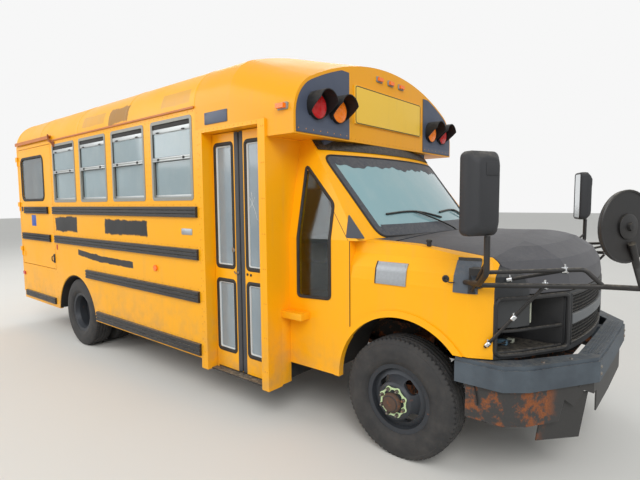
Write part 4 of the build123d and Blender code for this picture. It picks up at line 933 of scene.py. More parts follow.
@dataclass(frozen=True)
class Vinyl(Finish):
    """Coated seat cloth with a leather grain and worn, paler crowns."""

    worn: Colour = (0.2, 0.22, 0.16)

    def mixed(self, recipe: Recipe) -> None:
        """Cells of leather grain as relief, and wear in soft clouds.

        Args:
            recipe: Nodes that the finish goes into.
        """
        clouds = recipe.clouds(0.4, 0.8, 4.0, 5.0)
        recipe.skin(recipe.tint(self.colour, clouds, 0.4, self.worn), clouds, self.roughness, self.roughness + 0.15)
        cells = recipe.node("TexVoronoi", Vector=recipe.place, Scale=420.0)
        cells.feature = "DISTANCE_TO_EDGE"
        recipe.bump(recipe.ramp(cells.outputs["Distance"], 0.0, 0.25), 0.3, 0.0006)


BUS_YELLOW = srgb(246, 171, 8)
PATCH_BLACK = srgb(40, 40, 41)
RAIL_BLACK = srgb(30, 31, 34)
KERB_PATCHES = (
    Patch(PATCH_BLACK, (-2.262, -1.66), (1.312, 1.48), ragged=0.035),
    Patch(PATCH_BLACK, (-0.998, -0.17), (1.325, 1.472), ragged=0.035),
    Patch(PATCH_BLACK, (-1.67, -1.147), (1.058, 1.124), ragged=0.018, fall=0.076),
    Patch(PATCH_BLACK, (-1.16, -0.455), (1.016, 1.082), ragged=0.018, fall=0.012),
    Patch(srgb(150, 128, 84), (0.12, 0.53), (2.43, 2.54), 0.35, 0.015),
    Patch(srgb(150, 128, 84), (-1.43, -0.93), (2.43, 2.54), 0.35, 0.015),
    Patch(srgb(60, 44, 28), (-0.82, -0.45), (2.4, 2.55), 0.65, 0.04),
)
LIFT_RAILS = (
    Patch(RAIL_BLACK, (-3.385, -2.33), (1.506, 1.604), ragged=0.001, depth=-1.2205),
    Patch(RAIL_BLACK, (-3.385, -2.33), (1.161, 1.26), ragged=0.001, depth=-1.2205),
)


class Paint(Enum):
    """Finishes of the painted sheet metal."""

    BODY = Enamel("body_enamel", BUS_YELLOW, 0.34, patches=KERB_PATCHES)
    LIFT = Enamel("lift_enamel", BUS_YELLOW, 0.34, patches=LIFT_RAILS)
    CAP = Enamel("cap_gelcoat", srgb(238, 162, 10), 0.4, dust_low=-1.0, dust_high=-0.5)
    CAB = Enamel("cab_enamel", srgb(250, 174, 6), 0.3, dust_high=0.8)
    HOOD = Moulded("hood_matt", srgb(66, 66, 70), 0.5, faded=srgb(86, 86, 90), fade=0.6, relief=0.2, dust=0.05)
    RAIL = Moulded("rail_black", RAIL_BLACK, 0.42, faded=srgb(66, 66, 66), fade=0.35, dust=0.4,
                   zone=Zone("z", 2.2, 2.21, srgb(186, 104, 24)))
    SIGN = Enamel("sign_yellow", srgb(240, 196, 70), 0.4, dust_low=-1.0, dust_high=-0.5)
    STOP = Enamel("stop_red", srgb(188, 26, 24), 0.42, chalk=srgb(216, 90, 80), dust_low=-1.0, dust_high=-0.5)
    STOP_EDGE = Enamel("stop_white", srgb(226, 226, 220), 0.42, chalk=srgb(240, 240, 236), dust_low=-1.0,
                       dust_high=-0.5)
    SQUARE = Moulded("square_blue", srgb(28, 74, 158), 0.4, faded=srgb(80, 120, 180), fade=0.3)
    TAG = Moulded("tag_red", srgb(178, 38, 30), 0.5)


class Metal(Enum):
    """Finishes of the metal pieces."""

    FRAME = Steel("frame_paint", srgb(38, 36, 35), 0.7, rust=0.5, metallic=0.2)
    AXLE = Steel("axle_iron", srgb(70, 66, 62), 0.7, rust=0.65, metallic=0.4)
    ENGINE = Steel("engine_iron", srgb(92, 90, 88), 0.65, rust=0.35, metallic=0.5)
    EXHAUST = Steel("exhaust_steel", srgb(120, 112, 104), 0.55, rust=0.8, metallic=0.7)
    SASH = Steel("sash_aluminium", srgb(150, 150, 142), 0.5, metallic=0.3, brushed=1.0)
    RAIL_BRIGHT = Steel("rail_aluminium", srgb(190, 194, 194), 0.4, metallic=0.6, brushed=1.0)
    WHEEL = Steel("wheel_paint", srgb(60, 63, 68), 0.5, rust=0.22, metallic=0.35)
    HUB = Steel("hub_rust", srgb(92, 72, 60), 0.8, rust=0.35, metallic=0.2, rust_colour=srgb(84, 56, 42))
    NUT = Steel("nut_steel", srgb(136, 130, 122), 0.45, rust=0.45, metallic=0.9)
    CHROME = Steel("chrome_edge", srgb(214, 216, 218), 0.14, metallic=1.0)
    MIRROR = Steel("mirror_silver", srgb(226, 230, 232), 0.05, metallic=1.0)
    BADGE = Steel("bare_plate", srgb(168, 172, 176), 0.42, rust=0.08, metallic=0.7, brushed=1.0)
    RUSTED = Steel("rusted_sheet", srgb(120, 70, 44), 0.8, rust=1.0, metallic=0.1)
    SCRAPED = Steel("scraped_sheet", srgb(58, 57, 56), 0.6, rust=0.6, metallic=0.1, rust_colour=srgb(84, 52, 35),
                    scale=9.0, zone=Zone("y", -0.7, -0.78))
    RIVET = Enamel("rivet_enamel", srgb(228, 150, 18), 0.4)


class Resin(Enum):
    """Finishes of the moulded and rubber pieces."""

    BUMPER = Moulded("bumper_plastic", srgb(58, 66, 74), 0.6, faded=srgb(92, 102, 110), fade=0.6, grain=600.0,
                     dust=0.2)
    NOSE = Moulded("nose_black", srgb(34, 36, 39), 0.5, faded=srgb(70, 72, 74), fade=0.45)
    FRIT = Moulded("frit_grey", srgb(52, 56, 64), 0.45, faded=srgb(76, 80, 88), grain=500.0, relief=0.15, dust=0.15)
    SEAL = Rubber("seal_grey", srgb(58, 60, 64), 0.6, dusty=srgb(96, 94, 92), amount=0.4)
    PALE_FRAME = Moulded("pale_frame", srgb(196, 200, 200), 0.4, faded=srgb(214, 214, 208), grain=500.0, relief=0.1,
                         dust=0.1)
    PALE_PLASTIC = Moulded("pale_plastic", srgb(196, 200, 182), 0.4, faded=srgb(170, 168, 140))
    PLUG = Moulded("plug_blue", srgb(96, 140, 168), 0.45, faded=srgb(130, 150, 160))
    GRILLE = Moulded("grille_black", srgb(20, 21, 23), 0.5, faded=srgb(48, 48, 50))
    GRILLE_BAR = Moulded("grille_bar", srgb(86, 90, 94), 0.45, faded=srgb(120, 122, 122))
    BUCKET = Moulded("bucket_black", srgb(28, 28, 30), 0.55, faded=srgb(60, 60, 60))
    PANEL = Moulded("lamp_panel", srgb(70, 78, 96), 0.42, faded=srgb(84, 90, 106), grain=300.0, relief=0.1, dust=0.1)
    VISOR = Moulded("visor_black", srgb(10, 10, 11), 0.5, faded=srgb(26, 26, 27), fade=0.2)
    SHELL = Moulded("lamp_shell", srgb(46, 48, 50), 0.4, faded=srgb(70, 72, 74), dust=0.2)
    CAP_TRIM = Moulded("cap_panels", srgb(12, 12, 13), 0.5, faded=srgb(26, 26, 27), fade=0.2, dust=0.1,
                       zone=Zone("x", at(-0.637), at(-0.6385), srgb(70, 78, 96)))
    LINER = Moulded("arch_liner", srgb(26, 25, 24), 0.9, faded=srgb(54, 48, 42), fade=0.6, dust=0.3)
    MIRROR_CASE = Moulded("mirror_case", srgb(36, 37, 40), 0.6, faded=srgb(56, 57, 60), grain=500.0, relief=0.6,
                          dust=0.15)
    ARM = Moulded("arm_black", srgb(18, 18, 19), 0.4, faded=srgb(52, 46, 42), fade=0.4)
    BRACKET = Moulded("bracket_grey", srgb(74, 82, 92), 0.5, faded=srgb(104, 108, 112))
    DASH = Moulded("dash_grey", srgb(66, 68, 72), 0.6, faded=srgb(88, 88, 88))
    GRIP = Moulded("grip_black", srgb(22, 22, 24), 0.5, faded=srgb(44, 44, 44))
    FLOOR = Moulded("floor_black", srgb(34, 34, 35), 0.75, faded=srgb(86, 82, 74), fade=0.5, dust=0.5)
    GASKET = Rubber("gasket_black", srgb(16, 16, 17), 0.6, amount=0.25)
    TYRE = Rubber("tyre_rubber", srgb(38, 38, 39), 0.72, dusty=srgb(92, 88, 84), amount=0.45)
    NUT_RING = Moulded("nut_ring", srgb(204, 228, 172), 0.45, faded=srgb(220, 234, 200), dust=0.1)
    SEAT = Vinyl("seat_vinyl", srgb(40, 52, 44), 0.5, worn=srgb(78, 88, 76))
    DRIVER_SEAT = Vinyl("driver_vinyl", srgb(66, 68, 72), 0.55, worn=srgb(100, 100, 98))


class Pane(Enum):
    """Finishes of glass and lamp plastic."""

    # Pale colour of the side panes: a painted sky reflection, with a real dust film over it.
    WINDOW = Glass("window_glass", srgb(176, 196, 202), 0.05, clear=0.5, film=0.22,
                   zone=Zone("x", at(-1.3), at(-1.2)))
    SHIELD = Glass("shield_glass", srgb(150, 190, 196), 0.04, clear=0.28, film=0.15)
    # Pale colour of the entrance panes: a painted sky reflection, with a real dust film over it.
    DOOR = Glass("door_glass", srgb(176, 192, 202), 0.05, clear=0.5, film=0.3)
    REAR = Glass("rear_glass", srgb(150, 162, 166), 0.05, clear=0.8, film=0.25)
    LAMP = Glass("lamp_clear", srgb(226, 232, 232), 0.1, clear=0.9, film=0.2)
    RED = Lens("lens_red", srgb(184, 16, 18), 0.16)
    AMBER = Lens("lens_amber", srgb(246, 128, 16), 0.16)
    MARKER = Lens("lens_marker", srgb(240, 112, 18), 0.18, rear=srgb(184, 16, 18))
    WHITE = Lens("lens_white", srgb(230, 230, 222), 0.2, depth=0.4)


FINISH_NODES: dict[Enum, str] = {
    Paint.BODY: "side_wall_right side_wall_left rear_wall roof "
                "entry_portal entry_leaf_front entry_leaf_rear rear_door",
    Paint.CAP: "front_cap",
    Paint.LIFT: "lift_door",
    Paint.RAIL: "rub_rails rear_bumper",
    Paint.CAB: "cab_shell fender_left fender_right driver_door",
    Resin.NOSE: "nose_panel",
    Resin.FRIT: "cowl_panel",
    Paint.HOOD: "hood",
    Paint.SIGN: "blank_signs",
    Paint.STOP: "stop_arm",
    Metal.FRAME: "chassis_frame seat_frames",
    Metal.AXLE: "front_axle rear_axle knuckle_left knuckle_right",
    Metal.ENGINE: "engine_block",
    Metal.EXHAUST: "exhaust",
    Resin.FLOOR: "body_floor step_well",
    Metal.SASH: "window_sashes",
    Pane.WINDOW: "window_glass",
    Pane.REAR: "driver_door_glass lift_door_glass rear_door_glass",
    Pane.DOOR: "entry_glass_front entry_glass_rear",
    Resin.GRILLE: "grille",
    Resin.BUCKET: "headlamp_buckets",
    Pane.LAMP: "headlamp_left",
    Resin.BUMPER: "front_bumper",
    Metal.SCRAPED: "bumper_valance",
    Resin.CAP_TRIM: "cap_trim",
    Pane.RED: "warning_lamps",
    Pane.MARKER: "marker_lamps",
    Resin.ARM: "mirror_arms crossview_mirrors",
    Resin.MIRROR_CASE: "mirror_heads",
    Resin.SEAT: "seats",
    Resin.DASH: "cab_interior",
    Resin.GRIP: "steering_wheel",
    Resin.TYRE: "front_tyre_left front_tyre_right rear_tyres_left rear_tyres_right",
    Metal.WHEEL: "front_rim_left front_rim_right rear_rims_left rear_rims_right",
}
NODE_FINISHES = {node: finish.value for finish, nodes in FINISH_NODES.items() for node in nodes.split()}


ROUNDED_NODES = ("front_bumper", "bumper_valance", "hood")


@dataclass
class Viewpoint:
    """The camera, set as the photograph's was."""

    place: Point = (3.7196, -3.4109, 1.6277)
    azimuth: float = 39.98
    pitch: float = 4.734
    roll: float = -0.508
    focal: float = 25.84
    sensor: float = 36.0

    def build(self) -> bpy.types.Object:
        """Makes the camera from its azimuth, its pitch down and its roll.

        Returns:
            The camera.
        """
        a, e, r = (math.radians(v) for v in (self.azimuth, self.pitch, self.roll))
        ahead = Vector((-math.sin(a) * math.cos(e), math.cos(a) * math.cos(e), -math.sin(e)))
        right = Vector((math.cos(a), math.sin(a), 0.0))
        up = right.cross(ahead)
        across = math.cos(r) * right + math.sin(r) * up
        above = -math.sin(r) * right + math.cos(r) * up
        data = bpy.data.cameras.new("camera")
        data.lens, data.sensor_width = self.focal, self.sensor
        data.clip_start, data.clip_end = 0.05, 300.0
        camera = bpy.data.objects.new("camera", data)
        turn = Matrix((across, above, -ahead)).transposed().to_4x4()
        camera.matrix_world = Matrix.Translation(self.place) @ turn
        bpy.context.scene.collection.objects.link(camera)
        bpy.context.scene.camera = camera
        return camera


@dataclass
class Studio:
    """Pale floor, soft lights and a plain bright background."""

    floor_half: float = 60.0
    sky_strength: float = 0.62
    backdrop: float = 0.93
    floor_colour: Colour = srgb(222, 220, 214)

    def build(self) -> None:
        """Makes the floor, the world and the lamps."""
        self.lay_floor()
        self.light_world()
        self.hang_lamp("lamp_key", (9.0, -9.0, 9.5), (0.5, 0.0, 1.0), 7.0, 1050.0)
        self.hang_lamp("lamp_fill", (-7.0, -8.0, 6.0), (-1.0, 0.0, 1.0), 7.0, 420.0)
        self.hang_lamp("lamp_back", (-8.0, 9.0, 8.0), ALONG_Z, 8.0, 520.0)
        bpy.context.scene.view_settings.view_transform = "Standard"

    def lay_floor(self) -> None:
        """A flat floor at the level of the tyres' feet, finished in faintly mottled grey."""
        side = np.array([-self.floor_half, self.floor_half])
        points = np.stack([*np.meshgrid(side, side, indexing="ij"), np.zeros((2, 2))], -1)
        mesh = bpy.data.meshes.new("studio_floor")
        mesh.from_pydata(points.reshape(-1, 3).tolist(), [], [(0, 2, 3, 1)])
        floor = bpy.data.objects.new("studio_floor", mesh)
        bpy.context.scene.collection.objects.link(floor)
        recipe = Recipe("studio_floor")
        cloud = recipe.clouds(0.3, 0.8, 0.6, 5.0)
        recipe.set("Base Color", recipe.tint(self.floor_colour, cloud, 0.2, srgb(214, 212, 206)))
        recipe.set("Roughness", 0.9)
        mesh.materials.append(recipe.material)

    def light_world(self) -> None:
        """Even light from all sides; the camera, gloss and glass see the bright backdrop."""
        world = bpy.data.worlds.new("studio_world")
        bpy.context.scene.world = world
        world.use_nodes = True
        tree = world.node_tree
        tree.nodes.clear()
        rays = tree.nodes.new("ShaderNodeLightPath").outputs
        seen = rays["Is Camera Ray"]
        for ray in ("Is Glossy Ray", "Is Transmission Ray"):
            either = tree.nodes.new("ShaderNodeMath")
            either.operation = "MAXIMUM"
            tree.links.new(seen, either.inputs[0])
            tree.links.new(rays[ray], either.inputs[1])
            seen = either.outputs[0]
        mix = tree.nodes.new("ShaderNodeMixShader")
        tree.links.new(seen, mix.inputs[0])
        glows = (((0.94, 0.97, 1.0), self.sky_strength), ((1.0, 1.0, 1.0), self.backdrop))
        for number, (colour, strength) in enumerate(glows, 1):
            glow = tree.nodes.new("ShaderNodeBackground")
            glow.inputs["Color"].default_value = (*colour, 1.0)
            glow.inputs["Strength"].default_value = strength
            tree.links.new(glow.outputs[0], mix.inputs[number])
        tree.links.new(mix.outputs[0], tree.nodes.new("ShaderNodeOutputWorld").inputs["Surface"])

    def hang_lamp(self, name: str, place: Point, target: Point, size: float, power: float) -> None:
        """Makes one large soft lamp that looks at a target.

        Args:
            name: Name of the lamp.
            place: Where it hangs.
            target: What it looks at.
            size: Side of its square.
            power: Its power in watts.
        """
        data = bpy.data.lights.new(name, "AREA")
        data.energy, data.size = power, size
        lamp = bpy.data.objects.new(name, data)
        lamp.location = place
        lamp.rotation_euler = (Vector(target) - Vector(place)).to_track_quat("-Z", "Y").to_euler()
        bpy.context.scene.collection.objects.link(lamp)


@dataclass
class Tyres:
    """Treaded tyres that stand for the plain rings of the frame."""

    radius: float = 0.386
    front_y: float = 0.868
    outer_y: float = 1.09
    inner_y: float = 0.818
    steps: int = 288
    groove_depth: float = 0.009
    lugs: int = 72
    half_profile: tuple[Flat, ...] = (
        (0.2024, 0.074), (0.21, 0.0752), (0.2224, 0.078), (0.2226, 0.0895), (0.233, 0.099),
        (0.242, 0.1045), (0.256, 0.1082), (0.262, 0.11), (0.268, 0.1092), (0.286, 0.112),
        (0.306, 0.1124), (0.325, 0.11), (0.34, 0.1052), (0.35, 0.101), (0.353, 0.1016),
        (0.359, 0.0992), (0.368, 0.093), (0.378, 0.088), (0.3815, 0.085),
    )
    groove_places: tuple[float, ...] = (-0.052, -0.018, 0.018, 0.052)

    def section(self) -> tuple[Array, Array]:
        """Radius and offset of the tyre's outer section, from one bead to the other.

        Returns:
            Radii and offsets.
        """
        side = np.array(self.half_profile)
        across = np.linspace(-0.08, 0.08, 65)
        crown = self.radius - 0.0032 * (across / 0.08) ** 4
        radii = np.concatenate([side[:, 0], crown, side[::-1, 0]])
        offsets = np.concatenate([-side[:, 1], across, side[::-1, 1]])
        return radii, offsets

    def ring(self, x: float, y: float) -> Array:
        """Points of one tyre's outer skin.

        The radius drops by the groove's depth near each groove line, which swings from side to side
        with the angle, and in the gaps between the shoulder lugs.

        Args:
            x: The wheel's X.
            y: The tyre's middle.

        Returns:
            Array (steps, section, 3).
        """
        radii, offsets = self.section()
        angle = np.linspace(0, 2 * math.pi, self.steps, endpoint=False)[:, None]
        swing = 0.0026 * (2 / math.pi) * np.arcsin(np.sin(angle * self.lugs / 2))
        gaps = [np.abs(offsets[None] - (line + swing)) for line in self.groove_places]
        grooves = np.clip((0.0052 - np.min(gaps, axis=0)) / 0.0016, 0, 1)
        tread = (np.abs(offsets) < 0.0815)[None]
        lug = 0.5 + 0.5 * np.cos(angle * self.lugs / 1.0)
        slots = np.clip((0.26 - lug) * 6, 0, 1) * np.clip((np.abs(offsets) - 0.06)[None] / 0.004, 0, 1)
        slots = slots * np.clip((0.0895 - np.abs(offsets))[None] / 0.002, 0, 1)
        sipes = np.clip((0.18 - lug) * 3, 0, 1) * (np.abs(offsets) < 0.046)[None]
        shoulder = (radii > 0.3675)[None]
        drop = self.groove_depth * np.maximum(grooves * tread, slots * shoulder)
        drop = np.maximum(drop, 0.0035 * sipes * tread)
        size = radii[None] - drop
        return np.stack([x + size * np.cos(angle), y + offsets[None] + 0 * angle, AXLE_Z + size * np.sin(angle)], -1)

    def liner(self, x: float, y: float) -> Array:
        """Points of the inside of a tyre, which closes it between its beads.

        Args:
            x: The wheel's X.
            y: The tyre's middle.

        Returns:
            Array (steps, 6, 3).
        """
        angle = np.linspace(0, 2 * math.pi, self.steps, endpoint=False)[:, None]
        radii = np.array([0.2024, 0.216, 0.356, 0.356, 0.216, 0.2024])[None]
        offsets = np.array([0.074, 0.064, 0.06, -0.06, -0.064, -0.074])[None]
        return np.stack([x + radii * np.cos(angle), y + offsets + 0 * angle, AXLE_Z + radii * np.sin(angle)], -1)

    def build(self) -> None:
        """Makes the four tyre pieces, the rear ones with both tyres of a pair."""
        for end, side, x, sign in wheel_corners():
            front = end == "front"
            surface = Surface()
            for y in (self.front_y,) if front else (self.outer_y, self.inner_y):
                skin = [self.ring(x, sign * y), self.liner(x, sign * y)[:, 1:-1]]
                surface.closed(np.concatenate(skin, axis=1))
            piece = surface.build(f"tread_{end}_{side}", Resin.TYRE, "tyre_black", f"wheel_{end}_{side}", 30.0)
            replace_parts(piece, f"{end}_tyre{'' if front else 's'}_{side}")


@dataclass
class Benches:
    """Padded benches and the driver's seat, in place of the frame's plain blocks."""

    rows: tuple[tuple[float, int], ...] = (
        (-2.15, 1), (-2.87, 1), (-3.59, 1), (-4.31, 1), (-5.03, 1), (-2.3, -1), (-3.06, -1), (-3.82, -1))
    inner_y: float = 0.29
    outer_y: float = 1.167
    cushion_low: float = 1.17
    cushion_high: float = 1.28
    back_high: float = 1.8
    edge: float = 0.026

    def pad(self, low: Point, high: Point, crown: Point, channels: int, across: int) -> Array:
        """A stuffed pad as a closed grid.

        A box with round edges whose faces swell by the crown, most at their middle, and whose sewn
        channels pull the swelling in along lines at even spaces.

        Args:
            low: Lowest corner of the space it fills.
            high: Highest corner.
            crown: How far its faces swell along each axis.
            channels: Number of sewn lines.
            across: Axis along which the lines are spaced.

        Returns:
            Array (rows, columns, 3).
        """
        low, high = np.array(low, float), np.array(high, float)
        half, middle = (high - low) / 2, (high + low) / 2
        u = np.linspace(0, 2 * math.pi, 72, endpoint=False)[None, :]
        v = np.linspace(-math.pi / 2, math.pi / 2, 37)[:, None]
        sphere = np.stack(np.broadcast_arrays(np.cos(v) * np.cos(u), np.cos(v) * np.sin(u), np.sin(v)), -1)
        cube = sphere / np.abs(sphere).max(-1, keepdims=True)
        share = 0.16
        unit = cube * (1 - share) + sphere * share * 1.25
        unit = np.sign(unit) * np.minimum(np.abs(unit), 1.0)
        swell = np.stack([
            (1 - cube[..., 1] ** 2) * (1 - cube[..., 2] ** 2),
            (1 - cube[..., 0] ** 2) * (1 - cube[..., 2] ** 2),
            (1 - cube[..., 0] ** 2) * (1 - cube[..., 1] ** 2)], -1)
        line = np.abs(np.sin(cube[..., across] * math.pi * (channels + 1) / 2))
        sewn = np.clip(line / 0.3, 0, 1)[..., None] if channels else 1.0
        return middle + unit * half + np.sign(unit) * swell * np.array(crown) * (0.35 + 0.65 * sewn)

    def seat(self, name: str, finish: Enum, cushion: Array, back: Array) -> bpy.types.Object:
        """Makes one padded piece of a cushion and a back.

        Args:
            name: Name of the piece.
            finish: What it is covered in.
            cushion: Grid of the cushion.
            back: Grid of the back.

        Returns:
            The piece.
        """
        piece = Surface().loft(cushion).loft(back).build(name, finish, "seat_green", crease=60.0)
        return piece

    def build(self) -> None:
        """Makes each bench as one padded piece, and the driver's seat."""
        for number, (reach, side) in enumerate(self.rows, 1):
            x = at(reach)
            y0, y1 = sorted((side * self.inner_y, side * self.outer_y))
            cushion = self.pad((x - 0.055, y0, self.cushion_low), (x + 0.322, y1, self.cushion_high - 0.014),
                               (0.006, 0.0, 0.014), 3, 1)
            back = self.pad((x - 0.152, y0, self.cushion_low + 0.01), (x - 0.064, y1, self.back_high - 0.006),
                            (0.01, 0.0, 0.006), 3, 1)
            bench = self.seat(f"bench_{number}", Resin.SEAT, cushion, back)
            if number == 1:
                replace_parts(bench, "seats")
        cushion = self.pad((at(-1.285), 0.213, 1.002), (at(-0.885), 0.687, 1.095), (0.006, 0.006, 0.014), 2, 1)
        back = self.pad((at(-1.382), 0.213, 1.01), (at(-1.286), 0.687, 1.75), (0.01, 0.004, 0.006), 2, 1)
        self.seat("driver_seat", Resin.DRIVER_SEAT, cushion, back)


@dataclass
class WarningLamps:
    """The eight round warning lamps: ribbed domes in thin black rings."""

    front_x: float = CAP_FACE_X + 0.006
    radius: float = 0.086
    front_lamps: tuple[tuple[float, float, bool], ...] = (
        (-0.9635, 2.279, True), (-0.729, 2.279, False), (0.729, 2.279, False), (0.9635, 2.279, True))
    rear_lamps: tuple[tuple[float, float, bool], ...] = (
        (-0.96, 2.47, True), (-0.7, 2.53, False), (0.7, 2.53, False), (0.96, 2.47, True))

    def lens(self, surface: Surface, centre: Point, facing: Direction) -> None:
        """Adds one lens: a dome whose rings rise and fall in fine ribs.

        The height over the face is a parabola of the radius plus a cosine of the rings, with a flat skirt.

        Args:
            surface: What it is added to.
            centre: Middle of its foot.
            facing: Way that it faces.
        """
        share = np.linspace(0.02, 0.94, 30)
        dome = 0.02 + 0.02 * (1 - share**2) + 0.0011 * np.cos(share * 2 * math.pi * 9)
        profile = [(self.radius, 0.0), (self.radius, 0.018)]
        profile += [(self.radius * s, h) for s, h in zip(share[::-1], dome[::-1])]
        surface.turned(Place(centre, facing), profile, 48)

    def build(self) -> None:
        """Makes the red lenses, the amber lenses and the rings."""
        red, amber, rings = Surface(), Surface(), Surface()
        ring = [(0.0895, -0.002), (0.0895, 0.02), (0.088, 0.023), (0.0855, 0.023), (0.084, 0.02), (0.084, -0.002)]
        for x, lamps, facing in ((self.front_x, self.front_lamps, Direction.FRONT),
                                 (REAR_FACE_X, self.rear_lamps, Direction.REAR)):
            for y, z, is_red in lamps:
                self.lens(red if is_red else amber, (x, y, z), facing)
                rings.turned(Place((x, y, z), facing), ring, 48)
        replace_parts(red.build("warning_lens_red", Pane.RED, "lamp_red"), "warning_lamps")
        amber.build("warning_lens_amber", Pane.AMBER, "lamp_amber")
        rings.build("warning_lamp_rings", Resin.VISOR, "trim_blue_black")


@dataclass
class GrilleFace:
    """Grille with its frame, middle bar and honeycomb, in place of the frame's plain bars."""

    half_width: float = 0.475
    low: float = 0.785
    high: float = 1.09
    bar_low: float = 0.905
    bar_high: float = 0.965
    rim: float = 0.016
    cell: float = 0.0235
    wall: float = 0.0035
    tip: float = at(0.91)
    bow: float = 0.05
    bow_half: float = 0.5

    def front(self, y: Array) -> Array:
        """X of the nose at a distance from the centre line: the tip, less a parabola."""
        return self.tip - self.bow * (y / self.bow_half) ** 2

    def combs(self, low: float, high: float) -> Array:
        """Middles of the cells of one honeycomb field.

        Args:
            low: Lower edge of the field.
            high: Upper edge.

        Returns:
            Array of (y, z).
        """
        pitch_z = self.cell * math.sqrt(3) / 2
        rows = int((high - low) / pitch_z) + 2
        columns = int(2 * self.half_width / self.cell) + 2
        row, column = np.meshgrid(np.arange(rows), np.arange(columns), indexing="ij")
        y = (column + 0.5 * (row % 2) - (columns - 1) / 2) * self.cell
        z = low + row * pitch_z
        keep = (np.abs(y) < self.half_width - self.cell * 0.4) & (z < high + pitch_z * 0.4)
        return np.stack([y[keep], z[keep]], -1)

    def honeycomb(self) -> Surface:
        """The honeycomb walls: each cell is a six-sided ring with depth.

        Returns:
            The surface of both fields.
        """
        surface = Surface()
        corner = circle(6, math.pi / 6) / math.sqrt(3)
        outer, inner = self.cell * 1.002, self.cell - self.wall
        for low, high in ((self.low + self.rim, self.bar_low), (self.bar_high, self.high - self.rim)):
            middles = self.combs(low, high)
            loops = np.stack([middles[:, None] + corner * size for size in (outer, inner, inner, outer)], 1)
            y = np.clip(loops[..., 0], -self.half_width, self.half_width)
            z = np.clip(loops[..., 1], low - 0.006, high + 0.006)
            back = np.array([0.01, 0.01, 0.024, 0.024])[None, :, None]
            index = np.arange(len(middles) * 24).reshape(-1, 4, 6)
            wrap = np.concatenate([index, index[:, :, :1]], 2)
            wrap = np.concatenate([wrap, wrap[:, :1]], 1)
            quads = np.stack([wrap[:, :-1, :-1], wrap[:, 1:, :-1], wrap[:, 1:, 1:], wrap[:, :-1, 1:]], -1)
            surface.add(np.stack([self.front(y) - back, y, z], -1), quads.reshape(-1, 4))
        return surface

    def band(self, surface: Surface, low: float, high: float, half_width: float, depth: float,
             proud: float) -> Surface:
        """Adds a bowed bar across the nose.

        A rectangle with small bevels is carried along the bow of the nose.

        Args:
            surface: What it is added to.
            low: Lower edge.
            high: Upper edge.
            half_width: Half its length.
            depth: How deep it is.
            proud: How far it stands off the nose.

        Returns:
            The surface.
        """
        y = np.linspace(-half_width, half_width, 25)
        edge = 0.003
        section = np.array([(proud - edge, low), (proud, low + edge), (proud, high - edge), (proud - edge, high),
                            (-depth, high), (-depth, low)])
        x = self.front(y)[:, None] + section[None, :, 0]
        points = np.stack(np.broadcast_arrays(x, y[:, None], section[None, :, 1]), -1)
        return surface.loft(points)

    def build(self) -> None:
        """Makes the honeycomb, the frame bars and the middle bar."""
        comb = self.honeycomb().build("grille_honeycomb", Resin.GRILLE, "grille_black")
        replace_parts(comb, "grille")
        frame = Surface()
        for low, high in ((self.low, self.low + self.rim), (self.high - self.rim, self.high)):
            self.band(frame, low, high, self.half_width, 0.03, 0.002)
        x = float(self.front(np.array(self.half_width)))
        for side in (-1, 1):
            inner = side * (self.half_width - self.rim)
            frame.block((x - 0.03, side * self.half_width, self.low), (x + 0.004, inner, self.high), 0.003)
        frame.build("grille_frame", Resin.GRILLE, "grille_black")
        bar = self.band(Surface(), self.bar_low, self.bar_high, self.half_width - self.rim, 0.03, 0.004)
        bar.build("grille_middle_bar", Resin.GRILLE_BAR, "grille_black")


@dataclass
class WindowTrim:
    """Gaskets, pale rails, a dark block painted as the shade of the open gap, and the latches of the nine side
    windows.
    """

    right: tuple[float, ...] = (-2.03, -2.765, -3.5, -4.235)
    left: tuple[float, ...] = (-2.03, -2.765, -3.5, -4.235, -4.97)
    half: float = 0.2795
    low_glass: Flat = (1.678, 1.99)
    high_glass: Flat = (2.016, 2.302)
    gap_low: float = 2.262
    low_face: float = 1.197
    high_face: float = 1.211

    def add_window(self, reach: float, side: int, rubber: Surface, metal: Surface, latch: Surface) -> None:
        """Adds the trim of one window.

        Args:
            reach: Reach of its middle.
            side: -1 on the kerb side, 1 on the driver's side.
            rubber: Takes the gaskets and the dark block that is the painted shade of the open gap.
            metal: Takes the pale rails.
            latch: Takes the latches.
        """
        x, half = at(reach), self.half
        for (low, high), face in ((self.low_glass, self.low_face), (self.high_glass, self.high_face)):
            corners = [(x - half, low), (x + half, low), (x + half, high), (x - half, high)]
            rubber.hoop(on_side(soft_polygon(corners, 0.014), side * face), 0.0065)
        # The first bar is a dark block over the open gap above each upper sash: painted shade of the opening.
        bars = [(rubber, self.gap_low, self.high_glass[1], 1.2045, 1.2135, 0.002),
                (metal, self.gap_low - 0.038, self.gap_low, 1.2045, 1.219, 0.003),
                (metal, 1.986, 2.0, 1.205, 1.2252, 0.003), (metal, 2.004, 2.019, 1.205, 1.2252, 0.003),
                (metal, 1.676, 1.7, 1.19, 1.206, 0.003)]
        for surface, low, high, inner, outer, radius in bars:
            surface.block((x - half, side * inner, low), (x + half, side * outer, high), radius)
        for shift in (-0.19, 0.19):
            for wide, low, high in ((0.017, 2.226, 2.236), (0.012, 1.992, 2.012)):
                latch.block((x + shift - wide, side * 1.218, low), (x + shift + wide, side * 1.231, high), 0.003)

    def build(self) -> None:
        """Makes the three pieces that the windows share."""
        rubber, metal, latch = Surface(), Surface(), Surface()
        for side, reaches in ((-1, self.right), (1, self.left)):
            for reach in reaches:
                self.add_window(reach, side, rubber, metal, latch)
        rubber.build("window_gaskets_and_gap_shade", Resin.GASKET, "rail_black")
        metal.build("window_rails", Metal.RAIL_BRIGHT, "sash_aluminium")
        latch.build("window_latches", Resin.GRIP, "rail_black")


